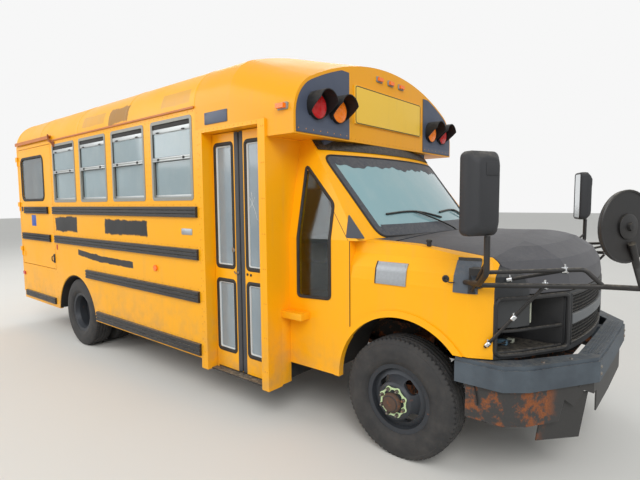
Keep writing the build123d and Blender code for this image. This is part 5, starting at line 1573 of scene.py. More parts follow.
@dataclass
class RivetRows:
    """Rows of rivet heads along the seams of the body, the cap, the portal and the doors."""

    radius: float = 0.0062
    height: float = 0.003
    side_rows: tuple[Row, ...] = (
        (-4.575, 2.352, -1.705, 2.352, 0.072), (-4.56, 1.614, -1.7, 1.614, 0.105),
        (-4.56, 1.27, -1.7, 1.27, 0.105), (-3.74, 0.925, -1.7, 0.925, 0.105),
        (-3.53, 0.492, -1.7, 0.492, 0.105), (-1.655, 0.4, -1.655, 2.33, 0.062),
        (-4.575, 0.5, -4.575, 2.33, 0.062), (-4.545, 1.66, -4.545, 2.33, 0.062),
        *((x, 1.664, x, 2.33, 0.06) for x in (-2.37, -2.425, -3.105, -3.16, -3.84, -3.895)))
    kerb_rows: tuple[Row, ...] = (
        (-0.925, 0.42, -0.925, 2.15, 0.245), (-0.905, 0.42, -0.905, 2.15, 0.245),
        (-1.59, 2.187, -0.97, 2.187, 0.048), (-1.632, 0.42, -1.632, 2.17, 0.084))
    door_rows: tuple[Row, ...] = (
        (-5.685, 0.87, -5.685, 2.32, 0.07), (-4.63, 0.87, -4.63, 2.32, 0.07),
        (-5.66, 2.32, -4.655, 2.32, 0.07))
    rear_rows: tuple[Row, ...] = (
        (-1.165, 0.56, -1.165, 2.35, 0.074), (1.165, 0.56, 1.165, 2.35, 0.074),
        (-0.54, 0.9, -0.54, 2.18, 0.08), (0.54, 0.9, 0.54, 2.18, 0.08))
    front_rows: tuple[Row, ...] = (
        (-0.555, 2.104, 0.555, 2.104, 0.056), (-1.15, 2.116, -0.62, 2.116, 0.076),
        (0.62, 2.116, 1.15, 2.116, 0.076))

    @staticmethod
    def spaced(row: Row) -> Array:
        """Even points along a row given by its two ends and its pitch.

        Args:
            row: First u and v, last u and v, and the pitch.

        Returns:
            Array of (u, v).
        """
        start, end = np.array(row[:2]), np.array(row[2:4])
        count = int(round(np.linalg.norm(end - start) / row[4])) + 1
        return start + (end - start) * np.linspace(0, 1, count)[:, None]

    def rows(self, table: Sequence[Row]) -> Array:
        """All points of a table of rows."""
        return np.concatenate([self.spaced(row) for row in table])

    def build(self) -> None:
        """Makes the rivets of the body and of the lift door."""
        body, door = Surface(), Surface()
        shared, kerb = self.rows(self.side_rows), self.rows(self.kerb_rows)
        front, rear = self.rows(self.front_rows), self.rows(self.rear_rows)
        for surface, points, side in ((body, shared, -1), (body, kerb, -1), (body, shared, 1),
                                      (door, self.rows(self.door_rows), -1)):
            centres = on_side(points + np.array([at(0), 0]), side * BODY_HALF)
            surface.domes(centres, SIDE_WAYS[side], self.radius, self.height)
        body.domes(across_bus(REAR_FACE_X, rear), Direction.REAR, self.radius, self.height)
        face = np.where(np.abs(front[:, 0]) > 0.585, CAP_PANEL_X, CAP_FACE_X)
        body.domes(np.column_stack([face, front]), Direction.FRONT, self.radius, self.height)
        body.build("body_rivets", Metal.RIVET, "body_yellow")
        door.build("lift_door_rivets", Metal.RIVET, "body_yellow", "lift_door")


@dataclass
class RoofStraps:
    """Flat seam straps that follow the roof's section from cove to cove."""

    reaches: tuple[float, ...] = (-1.695, -2.77, -3.84, -4.91, -5.69)
    width: float = 0.032
    height: float = 0.0022
    crown: float = 2.861
    radius: float = 3.2
    cove: float = 0.35

    def section(self) -> tuple[Array, Array]:
        """Points of the roof's section and the steps square to it.

        Each side is a quarter-like arc of the cove's radius; between them runs an arc of the roof's radius.

        Returns:
            Arrays of (y, z) points and of (y, z) steps.
        """
        base = self.crown - self.radius
        middle_y = BODY_HALF - self.cove
        middle_z = base + math.sqrt((self.radius - self.cove) ** 2 - middle_y**2)
        lean = math.atan2(middle_z - base, middle_y)
        turn = np.linspace(0, lean, 14)
        out = np.stack([np.cos(turn), np.sin(turn)], -1)
        side = np.array([middle_y, middle_z]) + self.cove * out
        sweep = np.linspace(lean, math.pi - lean, 40)[1:-1]
        top_out = np.stack([np.cos(sweep), np.sin(sweep)], -1)
        top = np.array([0, base]) + self.radius * top_out
        flip = np.array([-1, 1])
        return np.vstack([side, top, (side * flip)[::-1]]), np.vstack([out, top_out, (out * flip)[::-1]])

    def build(self) -> None:
        """Makes all the straps as one piece."""
        points, out = self.section()
        surface = Surface()
        edge = self.width / 2
        corners = np.array([(-edge, -0.002), (edge, -0.002), (edge, self.height * 0.6), (edge - 0.003, self.height),
                            (0.003 - edge, self.height), (-edge, self.height * 0.6)])
        for reach in self.reaches:
            x = np.broadcast_to(at(reach) + corners[:, 0], (len(points), len(corners)))
            rim = points[:, None] + out[:, None] * corners[None, :, 1:2]
            surface.loft(np.concatenate([x[..., None], rim], -1))
        surface.build("roof_straps", Paint.BODY, "body_yellow")


@dataclass
class EntryDoorTrim:
    """Rubber edges, gaskets, pale frames, latch and cracked pane of the two entrance leaves."""

    middle: float = at(-1.28)
    face: float = 1.122
    low: float = 0.306
    high: float = 2.161
    panes: tuple[Flat, ...] = ((0.455, 1.01), (1.13, 2.075))
    cracks: tuple[tuple[float, float, float, float], ...] = (
        (1.092, 1.69, 1.176, 1.545), (1.168, 1.668, 1.098, 1.575), (1.134, 1.622, 1.19, 1.5),
        (1.134, 1.615, 1.128, 1.705))

    def build(self) -> None:
        """Makes the trim of each leaf."""
        for name, side in (("front", 1), ("rear", -1)):
            body = f"entry_leaf_{name}"
            seal, gasket, frame = Surface(), Surface(), Surface()
            seal.block((self.middle + side * 0.0066, -self.face - 0.002, self.low),
                       (self.middle + side * 0.0515, -self.face + 0.0325, self.high), 0.006)
            centre = self.middle + side * 0.181
            for low, high in self.panes:
                middle, height = (low + high) / 2, high - low
                gasket.bead(Place((centre, -self.face, middle)), rounded_outline(0.212, height + 0.012, 0.026),
                            0.03, 0.006, 7)
                frame.bead(Place((centre, -self.face + 0.012, middle)), rounded_outline(0.176, height - 0.024, 0.016),
                           0.014, 0.011, 7)
            seal.build(f"entry_seal_{name}", Resin.SEAL, "door_black", body)
            gasket.build(f"entry_gasket_{name}", Resin.GASKET, "door_black", body)
            frame.build(f"entry_frame_{name}", Resin.PALE_FRAME, "door_black", body)
        cracks = Surface()
        y = -1.1103
        for x0, z0, x1, z1 in self.cracks:
            path = smooth_path([(x0, y, z0), ((x0 + x1) / 2 + 0.006, y, (z0 + z1) / 2), (x1, y, z1)], 6)
            cracks.tube(path, 0.0011, 5, ALONG_Y)
        cracks.build("entry_pane_crack", Resin.PALE_FRAME, "door_black", "entry_leaf_front")
        latch, knobs = Surface(), Surface()
        latch.turned(Place((0.925, -self.face, 1.262)),
                     [(0.021, -0.002), (0.021, 0.003), (0.017, 0.006), (0.004, 0.007)], 24)
        latch.tube(smooth_path([(0.934, -1.129, 1.094), (0.96, -1.134, 1.082), (0.988, -1.131, 1.09)], 8), 0.0045)
        latch.turned(Place((0.985, -self.face - 0.001, 1.09)), [(0.01, 0.0), (0.01, 0.01), (0.006, 0.013)], 16)
        latch.turned(Place((0.712, -self.face, 1.19)), [(0.011, -0.001), (0.011, 0.004), (0.006, 0.006)], 16)
        latch.build("entry_latch_rear", Metal.NUT, "door_black", "entry_leaf_rear")
        for x, z in ((1.298, 1.19), (1.082, 1.085), (1.12, 1.082)):
            knobs.turned(Place((x, -self.face, z)), [(0.01, -0.001), (0.01, 0.004), (0.005, 0.006)], 16)
        knobs.build("entry_knobs_front", Resin.GASKET, "door_black", "entry_leaf_front")


@dataclass
class LiftDoorTrim:
    """Gasket, latch, tag and blank square of the lift door, and the fittings beside it."""

    glass_x: Flat = (at(-5.6), at(-4.86))
    glass_z: Flat = (1.69, 2.22)

    def build(self) -> None:
        """Makes the pieces of the door, then those of the wall."""
        (x0, x1), (z0, z1) = self.glass_x, self.glass_z
        place = Place(((x0 + x1) / 2, -BODY_HALF, (z0 + z1) / 2))
        gasket = Surface().bead(place, rounded_outline(x1 - x0 + 0.01, z1 - z0 + 0.01, 0.072, 10), 0.034, 0.009, 8)
        gasket.build("lift_glass_gasket", Resin.GASKET, "rail_black", "lift_door")
        square = Surface().plate(Place((-2.965, -BODY_HALF, 1.422)), (0.15, 0.14, 0.008), 0.0012, 0.0004)
        square.build("blank_square", Paint.SQUARE, body="lift_door")
        x = -2.352
        latch = Surface().plate(Place((x, -BODY_HALF, 0.969)), (0.046, 0.11, 0.01), 0.006, 0.002)
        grip = smooth_path([(x, -1.224, 1.004), (x, -1.247, 0.992), (x, -1.247, 0.946), (x, -1.224, 0.934)], 6)
        latch.tube(grip, 0.006, 10, ALONG_X)
        latch.build("lift_door_latch", Resin.GRIP, "rail_black", "lift_door")
        tag = Surface().plate(Place((-2.254, -BODY_HALF, 1.113)), (0.034, 0.06, 0.006), 0.003, 0.001)
        tag.build("red_tag", Paint.TAG)
        bent = smooth_path([(-2.287, -1.245, 2.448), (-2.262, -1.252, 2.405), (-2.232, -1.248, 2.372),
                            (-2.185, -1.23, 2.325)], 6)
        bracket = Surface().tube(bent, 0.01, 8, ALONG_Y)
        bracket.plate(Place((-2.19, -BODY_HALF, 2.33)), (0.05, 0.06, 0.008), 0.012, 0.002)
        bracket.build("bent_bracket", Metal.RUSTED, "frame_black")
        plates = Surface().plate(Place((0.872, -BODY_HALF, 2.269)), (0.27, 0.09, 0.006), 0.006, 0.002)
        screws = [(x, -BODY_HALF - 0.006, z) for x in (0.755, 0.989) for z in (2.238, 2.3)]
        plates.domes(np.array(screws), Direction.KERB, 0.006, 0.003)
        plates.build("entry_header_plate", Resin.PANEL, "trim_blue_black")
        badge = Surface().plate(Place((0.452, -BODY_HALF, 1.393)), (0.15, 0.052, 0.01), 0.004, 0.0015)
        badge.build("bare_badge", Metal.BADGE, "sash_aluminium")


@dataclass
class CabTrim:
    """Gaskets, windshield, wipers, quarter panels, fuel plate and seams of the cab, and the portal's foot."""

    side_window: tuple[Flat, ...] = (
        (at(-0.806), 0.95), (at(-0.512), 0.964), (at(-0.512), 1.612), (at(-0.8), 1.892))
    driver_window: tuple[Flat, ...] = (
        (at(-1.175), 1.418), (at(-0.54), 1.418), (at(-0.832), 1.89), (at(-1.175), 1.89))
    quarter: tuple[Flat, ...] = ((1.91, 1.39), (2.062, 1.39), (1.91, 1.546))
    shield: tuple[Flat, ...] = ((-0.79, 1.388), (0.79, 1.388), (0.832, 1.964), (-0.832, 1.964))

    def side_gasket(self, corners: Sequence[Flat], side: int) -> Surface:
        """A rubber cord along a window outline on the leaning side of the cab."""
        outline = soft_polygon(corners, 0.03)
        return Surface().hoop(on_side(outline, side * (cab_side_y(outline[:, 1]) - 0.001)), 0.012)

    def quarter_panel(self, side: int) -> Surface:
        """The three-cornered dark panel ahead of the side window.

        Args:
            side: -1 on the kerb side, 1 on the driver's side.

        Returns:
            The surface.
        """
        shift = 0.014 if side > 0 else 0.0
        outline = soft_polygon([(x + shift, z) for x, z in self.quarter], 0.012)
        rings = stepped(outline, [(0.0, -0.004), (0.0, 0.002), (0.0015, 0.0035)])
        sheets = [on_side(ring[:, :2], side * (cab_side_y(ring[:, 1]) + ring[:, 2])) for ring in rings]
        return Surface().loft(np.stack(sheets))

    def windshield(self) -> None:
        """The dark printed edge of the windshield, its pane, its header and its gasket.

        The edge's inner line stands in from the opening by a width that grows at the top and foot, and that
        wanders at the top by a sum of three sines.
        """
        outer = soft_polygon([(y * 1.004, z) for y, z in self.shield], 0.072)
        around = np.arange(len(outer))
        middle = np.array([0.0, 1.69])
        top = np.clip((outer[:, 1] - 1.93) / 0.03, 0, 1)
        foot = np.clip((1.45 - outer[:, 1]) / 0.03, 0, 1)
        waves = 0.005 * np.sin(around * 0.61) + 0.008 * np.sin(around * 0.23 + 1.0) + 0.006 * np.sin(around * 0.11)
        inner = outer - outward(outer) * (0.05 + 0.026 * top + 0.03 * foot + top * waves)[:, None]
        inner = inner - unit(inner - middle) * 0.002
        rings = [on_shield(*level) for level in ((outer, 0.001), (outer, 0.0046), (inner, 0.0046), (inner, 0.001))]
        Surface().closed(np.stack(rings, 1)).build("windshield_edge", Resin.FRIT, "rail_black")
        shares = np.linspace(0.03, 1, 16)
        layers = [on_shield(middle + (outer - middle) * share, rise)
                  for share, rise in [(s, -0.002) for s in shares] + [(s, 0.0026) for s in shares[::-1]]]
        Surface().loft(np.stack(layers)).build("windshield_pane", Pane.SHIELD, "glass_clear")
        y, z = np.linspace(-0.845, 0.845, 60)[:, None], np.array([[2.006, 2.006, 2.078, 2.078]])
        rise = np.array([-0.004, 0.01, 0.01, -0.004])
        band = np.stack(np.broadcast_arrays(shield_x(y, z) + rise, y, z), -1)
        Surface().loft(band).build("header_band", Resin.VISOR, "rail_black")
        gasket = Surface().hoop(on_shield(outer, 0.001), 0.009, across=(1.0, 0.0, 0.3))
        gasket.build("windshield_gasket", Resin.GASKET, "rail_black")

    def wipers(self) -> None:
        """Two wiper arms with their blades, resting on the windshield."""
        surface = Surface()
        for shift in (0.0, 0.69):
            blade = [(-0.622 + shift, 1.539), (-0.399 + shift, 1.552), (-0.217 + shift, 1.544),
                     (0.037 + shift * 0.86, 1.499)]
            arm = [(-0.3 + shift, 1.549), (-0.1 + shift, 1.488), (0.065 + shift * 0.9, 1.43),
                   (0.13 + shift * 0.88, 1.392)]
            for points, radius, lift in ((blade, 0.0075, 0.012), (arm, 0.0065, 0.026)):
                surface.tube(on_shield(smooth_path(points, 8), lift), radius, 8, (1.0, 0.0, 0.2))
        surface.build("wipers", Resin.ARM, "rail_black")

    def fuel_plate(self) -> None:
        """The bare plate on the fender, with its screws, the dark hinge edge and the loose holder beside it."""
        z = np.linspace(1.115, 1.25, 8)
        x_grid, z_grid = np.meshgrid(np.linspace(2.144, 2.357, 6), z)
        outer, inner = (np.stack([x_grid, shift - fender_side_y(z_grid), z_grid], -1) for shift in (-0.008, 0.002))
        plate = Surface().loft(np.concatenate([outer, inner[:, ::-1]], axis=1))
        screws = [(px, -float(fender_side_y(pz)) - 0.008, pz) for px in (2.16, 2.341) for pz in (1.13, 1.236)]
        plate.domes(np.array(screws), Direction.KERB, 0.005, 0.003)
        plate.build("fuel_plate", Metal.BADGE, "sash_aluminium")
        hinge = np.stack([np.full(8, 2.141), -fender_side_y(z) - 0.004, z], -1)
        Surface().tube(hinge, 0.006, 8, ALONG_X).build("fuel_plate_edge", Resin.GASKET, "rail_black")
        bits = Surface()
        grommet = (2.607, -float(fender_side_y(1.187)) + 0.001, 1.187)
        bits.turned(Place(grommet),
                    [(0.021, -0.003), (0.021, 0.004), (0.016, 0.008), (0.008, 0.008), (0.006, 0.003)], 24)
        cord = smooth_path([(2.61, -0.984, 1.184), (2.64, -0.998, 1.172), (2.668, -1.0, 1.176)], 8)
        bits.tube(cord, 0.0035, 8, ALONG_Z)
        bits.turned(Place((2.452, -0.876, 1.36), Direction.UP),
                    [(0.014, -0.01), (0.014, 0.02), (0.018, 0.022), (0.018, 0.034), (0.01, 0.04)], 20)
        bits.build("fender_fittings", Resin.GRIP, "rail_black")

    def seams(self) -> None:
        """Dark lines where the cab meets the fenders, and the fixed panel's lower seam."""
        surface = Surface()
        for side in (-1, 1):
            z = np.linspace(0.8, 1.37, 20)
            line = np.column_stack([np.full(20, CAB_SEAM_X), np.full(20, side * 0.989), z])
            surface.tube(line, 0.0024, 6, ALONG_X)
        z = np.linspace(1.37, 1.64, 10)
        line = np.column_stack([CAB_SEAM_X - SHIELD_LEAN * (z - BELT_Z) - 0.012, -cab_side_y(z) + 0.0012, z])
        surface.tube(line, 0.0024, 6, ALONG_X)
        surface.build("cab_seams", Resin.GASKET, "rail_black")

    def portal_foot(self) -> None:
        """Painted sheet between the portal and the cab, and a casing round the floor's corner beside it."""
        sheet = Surface()
        sheet.block((1.388, -1.084, 0.29), (1.3955, -0.985, 0.8), 0.001)
        sheet.block((1.394, -1.0845, 0.7955), (1.5905, -0.985, 0.8445), 0.004)
        sheet.build("portal_foot_sheet", Paint.BODY, "body_yellow")

    def build(self) -> None:
        """Makes every piece of the cab."""
        self.portal_foot()
        self.side_gasket(self.side_window, -1).build("side_window_gasket", Resin.GASKET, "rail_black")
        driver = self.side_gasket(self.driver_window, 1)
        driver.build("driver_window_gasket", Resin.GASKET, "rail_black", "driver_door")
        for name, side in BOTH_SIDES:
            self.quarter_panel(side).build(f"quarter_panel_{name}", Resin.FRIT, "rail_black")
        self.windshield()
        self.wipers()
        self.fuel_plate()
        self.seams()


@dataclass
class MirrorTrim:
    """Cases, silvered faces, clamps, bracket plates and hubs of the mirrors."""

    head: Point = (at(0.601), -1.2, 1.66)
    yaw: float = 25.0
    dome: Point = (at(1.223), -1.45, 1.53)
    dome_swing: float = 60.0
    dome_half: float = 0.13
    dome_rise: float = 0.052
    clamps: tuple[tuple[Point, Point, float], ...] = (
        ((at(0.915), -0.912, 1.28), (0.3, 0.02, 0.05), 0.017),
        ((at(0.83), -0.926, 1.195), (0.3, -0.03, 0.0), 0.019),
        ((at(0.687), -0.943, 1.012), (0.285, 0.034, 0.365), 0.014),
        ((at(0.64), -0.876, 1.201), (0.287, -0.038, 0.082), 0.013),
        ((at(0.56), -0.958, 0.849), (0.285, 0.034, 0.365), 0.014))
    plate_x: Flat = (at(0.371), at(0.504))
    plate_z: Flat = (1.119, 1.292)
    case: tuple[tuple[float, float, float, float], ...] = (
        (-0.045, 0.168, 0.378, 0.014), (-0.05, 0.17, 0.38, 0.016), (-0.05, 0.18, 0.39, 0.022),
        (-0.046, 0.192, 0.402, 0.03), (-0.036, 0.2, 0.41, 0.034), (-0.005, 0.2, 0.41, 0.036),
        (0.012, 0.194, 0.406, 0.038), (0.044, 0.14, 0.35, 0.04), (0.05, 0.118, 0.328, 0.036))

    def on_head(self, layers: Sequence[tuple[float, Array]]) -> Array:
        """Rings of a mirror head: each (x, outline) layer turned by the yaw and moved to the head.

        Args:
            layers: X and (y, z) outline of each ring.

        Returns:
            Array (layers, points, 3).
        """
        c, s = math.cos(math.radians(self.yaw)), math.sin(math.radians(self.yaw))
        rings = np.stack([across_bus(x, outline) for x, outline in layers])
        return rings @ np.array([[c, -s, 0], [s, c, 0], [0, 0, 1.0]]) + np.array(self.head)

    def on_dome(self, profile: Sequence[Flat]) -> Array:
        """Rings round the axis of the crossview mirror.

        Args:
            profile: Their (radius, outward) points.

        Returns:
            Array (points, 40, 3).
        """
        swing = math.radians(self.dome_swing) / 2
        out = np.array([math.cos(swing), -math.sin(swing), 0.0])
        axes = np.stack([(-out[1], out[0], 0.0), ALONG_Z, out])
        return rounds(profile, 40) @ axes + np.array(self.dome)

    def bracket_plate(self) -> Array:
        """Rings of the plate that carries the arms: it follows the fender and bends in towards its front.

        Returns:
            Array (14, 12, 3).
        """
        x, z = np.meshgrid(np.linspace(*self.plate_x, 6), np.linspace(*self.plate_z, 14))
        y = -fender_side_y(z) - 0.0095 + 0.36 * np.maximum(x - at(0.458), 0.0)
        return np.concatenate([np.stack([x, y, z], -1), np.stack([x, y + 0.009, z], -1)[:, ::-1]], axis=1)

    def build(self) -> None:
        """Makes both sides of each piece; the left is the right seen in a mirror."""
        faces, clamps, hubs, caps, cases, plates = (Surface() for _ in range(6))
        ball = (self.dome_half**2 + self.dome_rise**2) / (2 * self.dome_rise)
        lift = np.linspace(0.04, math.asin(0.128 / ball), 16)
        centre = -(0.012 + self.dome_rise) + ball
        cap = [(ball * math.sin(t) * 1.002, centre - (ball + 0.001) * math.cos(t)) for t in lift[::-1]]
        low = rounded_outline(0.166, 0.376, 0.012)
        boss = [(x, rounded_outline(w, h, 0.008) + np.array([0.018, 0.118]))
                for x, w, h in ((0.04, 0.08, 0.066), (0.0515, 0.08, 0.066), (0.0535, 0.074, 0.06))]
        for side in (-1, 1):
            flip = np.array([1.0, -side, 1.0])
            faces.loft(self.on_head([(-0.0462, low), (-0.0472, low)]) * flip)
            cases.loft(self.on_head([(x, rounded_outline(w, h, r)) for x, w, h, r in self.case]) * flip)
            cases.loft(self.on_head(boss) * flip)
            plates.loft(self.bracket_plate() * flip)
            for place, along, radius in self.clamps:
                path = np.array(place) + unit(np.array(along)) * np.linspace(-0.011, 0.011, 5)[:, None]
                clamps.tube(path * flip, radius, 14, (0.1, 1.0, 0.3))
                bolt = np.array(place) + np.array([[0, 0, radius + rise] for rise in (-0.002, 0.006, 0.012)])
                clamps.tube(bolt * flip, 0.005, 8, ALONG_X)
            hubs.loft(self.on_dome([(0.046, -0.002), (0.046, 0.006), (0.04, 0.009), (0.016, 0.01), (0.014, 0.02),
                                    (0.004, 0.022)]) * flip)
            rim = [(0.126, -0.006), (0.1315, -0.005), (0.1325, 0.001), (0.13, 0.004), (0.124, 0.002)]
            hubs.closed((self.on_dome(rim) * flip).transpose(1, 0, 2))
            caps.loft(self.on_dome([(0.1275, -0.014)] + cap) * flip)
        plates.build("bracket_plates", Resin.BRACKET, "arm_black")
        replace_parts(cases.build("mirror_cases", Resin.MIRROR_CASE, "mirror_dark"), "mirror_heads")
        faces.build("mirror_faces", Metal.MIRROR, "mirror_dark")
        clamps.build("mirror_clamps", Metal.CHROME, "arm_black")
        hubs.build("crossview_hubs", Resin.ARM, "arm_black")
        caps.build("crossview_faces", Metal.MIRROR, "arm_black")


@dataclass
class HeadLamps:
    """Lamp openings of the nose: an empty bucket on the kerb side, a reflector on the driver's side."""

    low: float = 0.778
    high: float = 1.092
    inner: float = 0.505
    outer: float = 0.925

    def face(self, y: Array) -> Array:
        """X of the nose's face at a distance from the centre line, along its three flat stretches."""
        return np.interp(np.abs(y), (0.5, 0.8, 0.93), (at(0.86), at(0.69), at(0.585)))

    def rim(self, side: int) -> Surface:
        """A rounded black edge round one opening.

        Args:
            side: -1 on the kerb side, 1 on the driver's side.

        Returns:
            The surface.
        """
        corners = [(self.inner, self.low), (self.outer, self.low), (self.outer, self.high), (self.inner, self.high)]
        outline = soft_polygon(corners, 0.034)
        path = np.column_stack([self.face(outline[:, 0]) - 0.002, side * outline[:, 0], outline[:, 1]])
        return Surface().hoop(path, 0.013, across=(1.0, 0.2, 0.0))

    def build(self) -> None:
        """Makes the rims, the bare bucket's insides and the fitted lamp."""
        for name, side in BOTH_SIDES:
            self.rim(side).build(f"lamp_rim_{name}", Resin.BUCKET, "grille_black")
        ribs, plugs, white, wires = (Surface() for _ in range(4))
        back = at(0.5)
        for number in range(9):
            y = -0.56 - number * 0.036
            reach = float(self.face(np.array(y))) - 0.052
            ribs.block((back, y - 0.004, 0.906), (min(reach, at(0.64)), y + 0.004, 0.922), 0.002)
        y = np.linspace(-0.905, -0.515, 20)
        for z in (0.907, 0.789):
            ribs.tube(np.column_stack([self.face(y) - 0.03, y, np.full(20, z)]), 0.009, 8, ALONG_Z)
        ribs.block((back, -0.56, 0.93), (at(0.56), -0.53, 1.08), 0.004)
        ribs.build("bucket_ribs", Resin.BUCKET, "grille_black")
        plan = [(at(0.61), -0.698), (at(0.706), -0.698), (at(0.7), -0.668), (at(0.61), -0.662)]
        self.upright(plan, 0.934, 1.07, 0.005).build("lamp_edge", Resin.PALE_PLASTIC, "lamp_clear")
        plan = [(back, -0.908), (at(0.572), -0.908), (at(0.655), -0.806), (at(0.708), -0.704), (back, -0.698)]
        self.upright(plan, 0.922, 1.08, 0.016).build("lamp_back", Resin.SHELL, "grille_black")
        plugs.block((at(0.53), -0.725, 0.786), (at(0.585), -0.69, 0.816), 0.005)
        plugs.build("lamp_plug_blue", Resin.PLUG, "grille_black")
        white.block((at(0.56), -0.655, 0.786), (at(0.6), -0.622, 0.81), 0.005)
        white.build("lamp_plug_white", Resin.PALE_PLASTIC, "grille_black")
        for shift in (0.0, 0.012):
            line = [(back, -0.78, 0.8 + shift), (at(0.56), -0.77, 0.806), (at(0.58), -0.72, 0.8 + shift),
                    (at(0.59), -0.64, 0.798)]
            wires.tube(smooth_path(line, 8), 0.0042, 8, ALONG_Z)
        wires.build("lamp_wires", Resin.GASKET, "grille_black")
        self.fitted()

    @staticmethod
    def upright(plan: Sequence[Flat], low: float, high: float, radius: float) -> Surface:
        """An upright prism with softened corners and edges.

        Args:
            plan: Its (x, y) corners.
            low: Height of its foot.
            high: Height of its top.
            radius: Softening of its corners.

        Returns:
            The surface.
        """
        edge = 0.004
        levels = [(edge, low), (0.0, low + edge), (0.0, high - edge), (edge, high)]
        return Surface().loft(stepped(soft_polygon(plan, radius, pitch=0.006), levels))

    def fitted(self) -> None:
        """The driver's side lamp: three bright bowls, their bulbs and an amber corner."""
        bowls, bulbs = Surface(), Surface()
        bowl = [(0.064, 0.05), (0.062, 0.055)]
        bowl += [(r, 0.055 * (r / 0.06) ** 2) for r in np.linspace(0.06, 0.012, 10)] + [(0.01, -0.006)]
        for y, z in ((0.62, 1.0), (0.76, 1.0), (0.69, 0.85)):
            place = Place((float(self.face(np.array(y))) - 0.09, y, z), Direction.FRONT)
            bowls.turned(place, bowl, 32)
            bulbs.turned(place, [(0.01, 0.0), (0.01, 0.03), (0.006, 0.037)], 16)
        bowls.build("lamp_bowls", Metal.CHROME, "lamp_clear")
        bulbs.build("lamp_bulbs", Pane.WHITE, "lamp_clear")
        corner = Surface().block((at(0.505), 0.86, 0.8), (at(0.56), 0.905, 1.07), 0.01)
        corner.build("lamp_corner", Pane.AMBER, "lamp_amber")


@dataclass
class BumperTrim:
    """Ribbed step pad and bolts of the front bumper, and bolts of the rear one."""

    top: float = 0.75

    def build(self) -> None:
        """Makes the ribs and the bolts."""
        pads, bolts = Surface(), Surface()
        y = np.linspace(-0.44, 0.44, 30)
        for row in range(5):
            x = at(1.008 - row * 0.016) - 0.005 * np.abs(y) / 0.5
            pads.tube(np.column_stack([x, y, np.full(30, self.top + 0.001)]), 0.0042, 6, ALONG_Z)
        pads.build("bumper_step_ribs", Resin.BUMPER, "bumper_grey")
        for y in (-0.78, -0.62, 0.62, 0.78):
            reach = 1.025 - (abs(y) - 0.5) * 0.65 - 0.045
            bolts.domes(np.array([(at(reach), y, self.top)]), Direction.UP, 0.011, 0.006, 12)
        for reach, heights, places, facing in (
                (1.025, (0.69, 0.65), (-0.467, 0.467), Direction.FRONT),
                (-5.86, (0.59, 0.48), (-0.467, 0.467, -1.02, 1.02), Direction.REAR)):
            for y in places:
                bolts.domes(np.array([(at(reach), y, z) for z in heights]), facing, 0.012, 0.008, 12)
        bolts.build("bumper_bolts", Metal.NUT, "bumper_grey")


@dataclass
class WheelHubs:
    """Nut rings, nuts and hub caps of the wheels."""

    bolt_circle: float = 0.082
    nuts: int = 8
    front_y: float = 1.004
    rear_y: float = 0.964
    cap: tuple[Flat, ...] = ((0.06, -0.002), (0.0625, 0.02), (0.06, 0.034), (0.052, 0.042), (0.046, 0.044),
                             (0.044, 0.05), (0.03, 0.053), (0.012, 0.054))

    def nut_ring(self, place: Place) -> Surface:
        """A ring whose half width swells at each nut by a cosine squared.

        Args:
            place: Middle of the wheel's face.

        Returns:
            The surface.
        """
        turning = circle(96)
        angle = np.linspace(0, 2 * math.pi, 96, endpoint=False)
        half = 0.0055 + 0.0125 * ((1 - np.cos(angle * self.nuts)) / 2) ** 2
        levels = [(-1.0, 0.0), (-1.0, 0.006), (0.9, 0.008), (1.0, 0.006), (1.0, 0.0)]
        rings = [level(turning * (self.bolt_circle + half * share)[:, None], out) for share, out in levels]
        return Surface().closed(place.put(np.stack(rings, 1)))

    def build(self) -> None:
        """Makes the ring, the nuts and the cap of each wheel."""
        for end, side, x, sign in wheel_corners():
            name, body = f"{end}_{side}", f"wheel_{end}_{side}"
            place = Place((x, sign * (self.front_y if end == "front" else self.rear_y), AXLE_Z), SIDE_WAYS[sign])
            self.nut_ring(place).build(f"nut_ring_{name}", Resin.NUT_RING, body=body)
            nuts = Surface()
            for number in range(self.nuts):
                turn = 2 * math.pi * (number + 0.5) / self.nuts
                middle = self.bolt_circle * np.array([math.cos(turn), math.sin(turn), 0.0])
                nuts.loft(place.put(rounds([(0.0125, 0.0), (0.0125, 0.02), (0.0095, 0.024)], 6, turn) + middle))
                nuts.loft(place.put(rounds([(0.0065, 0.02), (0.0065, 0.032), (0.004, 0.034)], 12) + middle))
            nuts.build(f"wheel_nuts_{name}", Metal.NUT, body=body)
            Surface().turned(place, self.cap, 40).build(f"hub_cap_{name}", Metal.HUB, "wheel_grey", body)


@dataclass
class ArchLiners:
    """Dark half rings inside the wheel arches."""

    outer_front: float = 0.972
    outer_rear: float = 1.216
    inner: float = 0.64

    def build(self) -> None:
        """Makes the four liners: each a thin strip bent round the middle of its arch."""
        angle = np.radians(np.linspace(5.0, 175.0, 48))
        rear = (REAR_AXLE_X - 0.03, 0.33, 0.47, self.outer_rear)
        front = (FRONT_AXLE_X + 0.03, 0.455, 0.484, self.outer_front)
        liner = Surface()
        for x, z, radius, outer in (rear, front):
            for side in (-1, 1):
                thick = radius + 0.004
                section = [(radius, self.inner), (radius, outer), (thick, outer), (thick, self.inner)]
                rings = [np.stack([x + r * np.cos(angle), np.full(48, side * y), z + r * np.sin(angle)], -1)
                         for r, y in section]
                liner.loft(np.stack(rings, 1))
        liner.build("arch_liners", Resin.LINER, "frame_black")


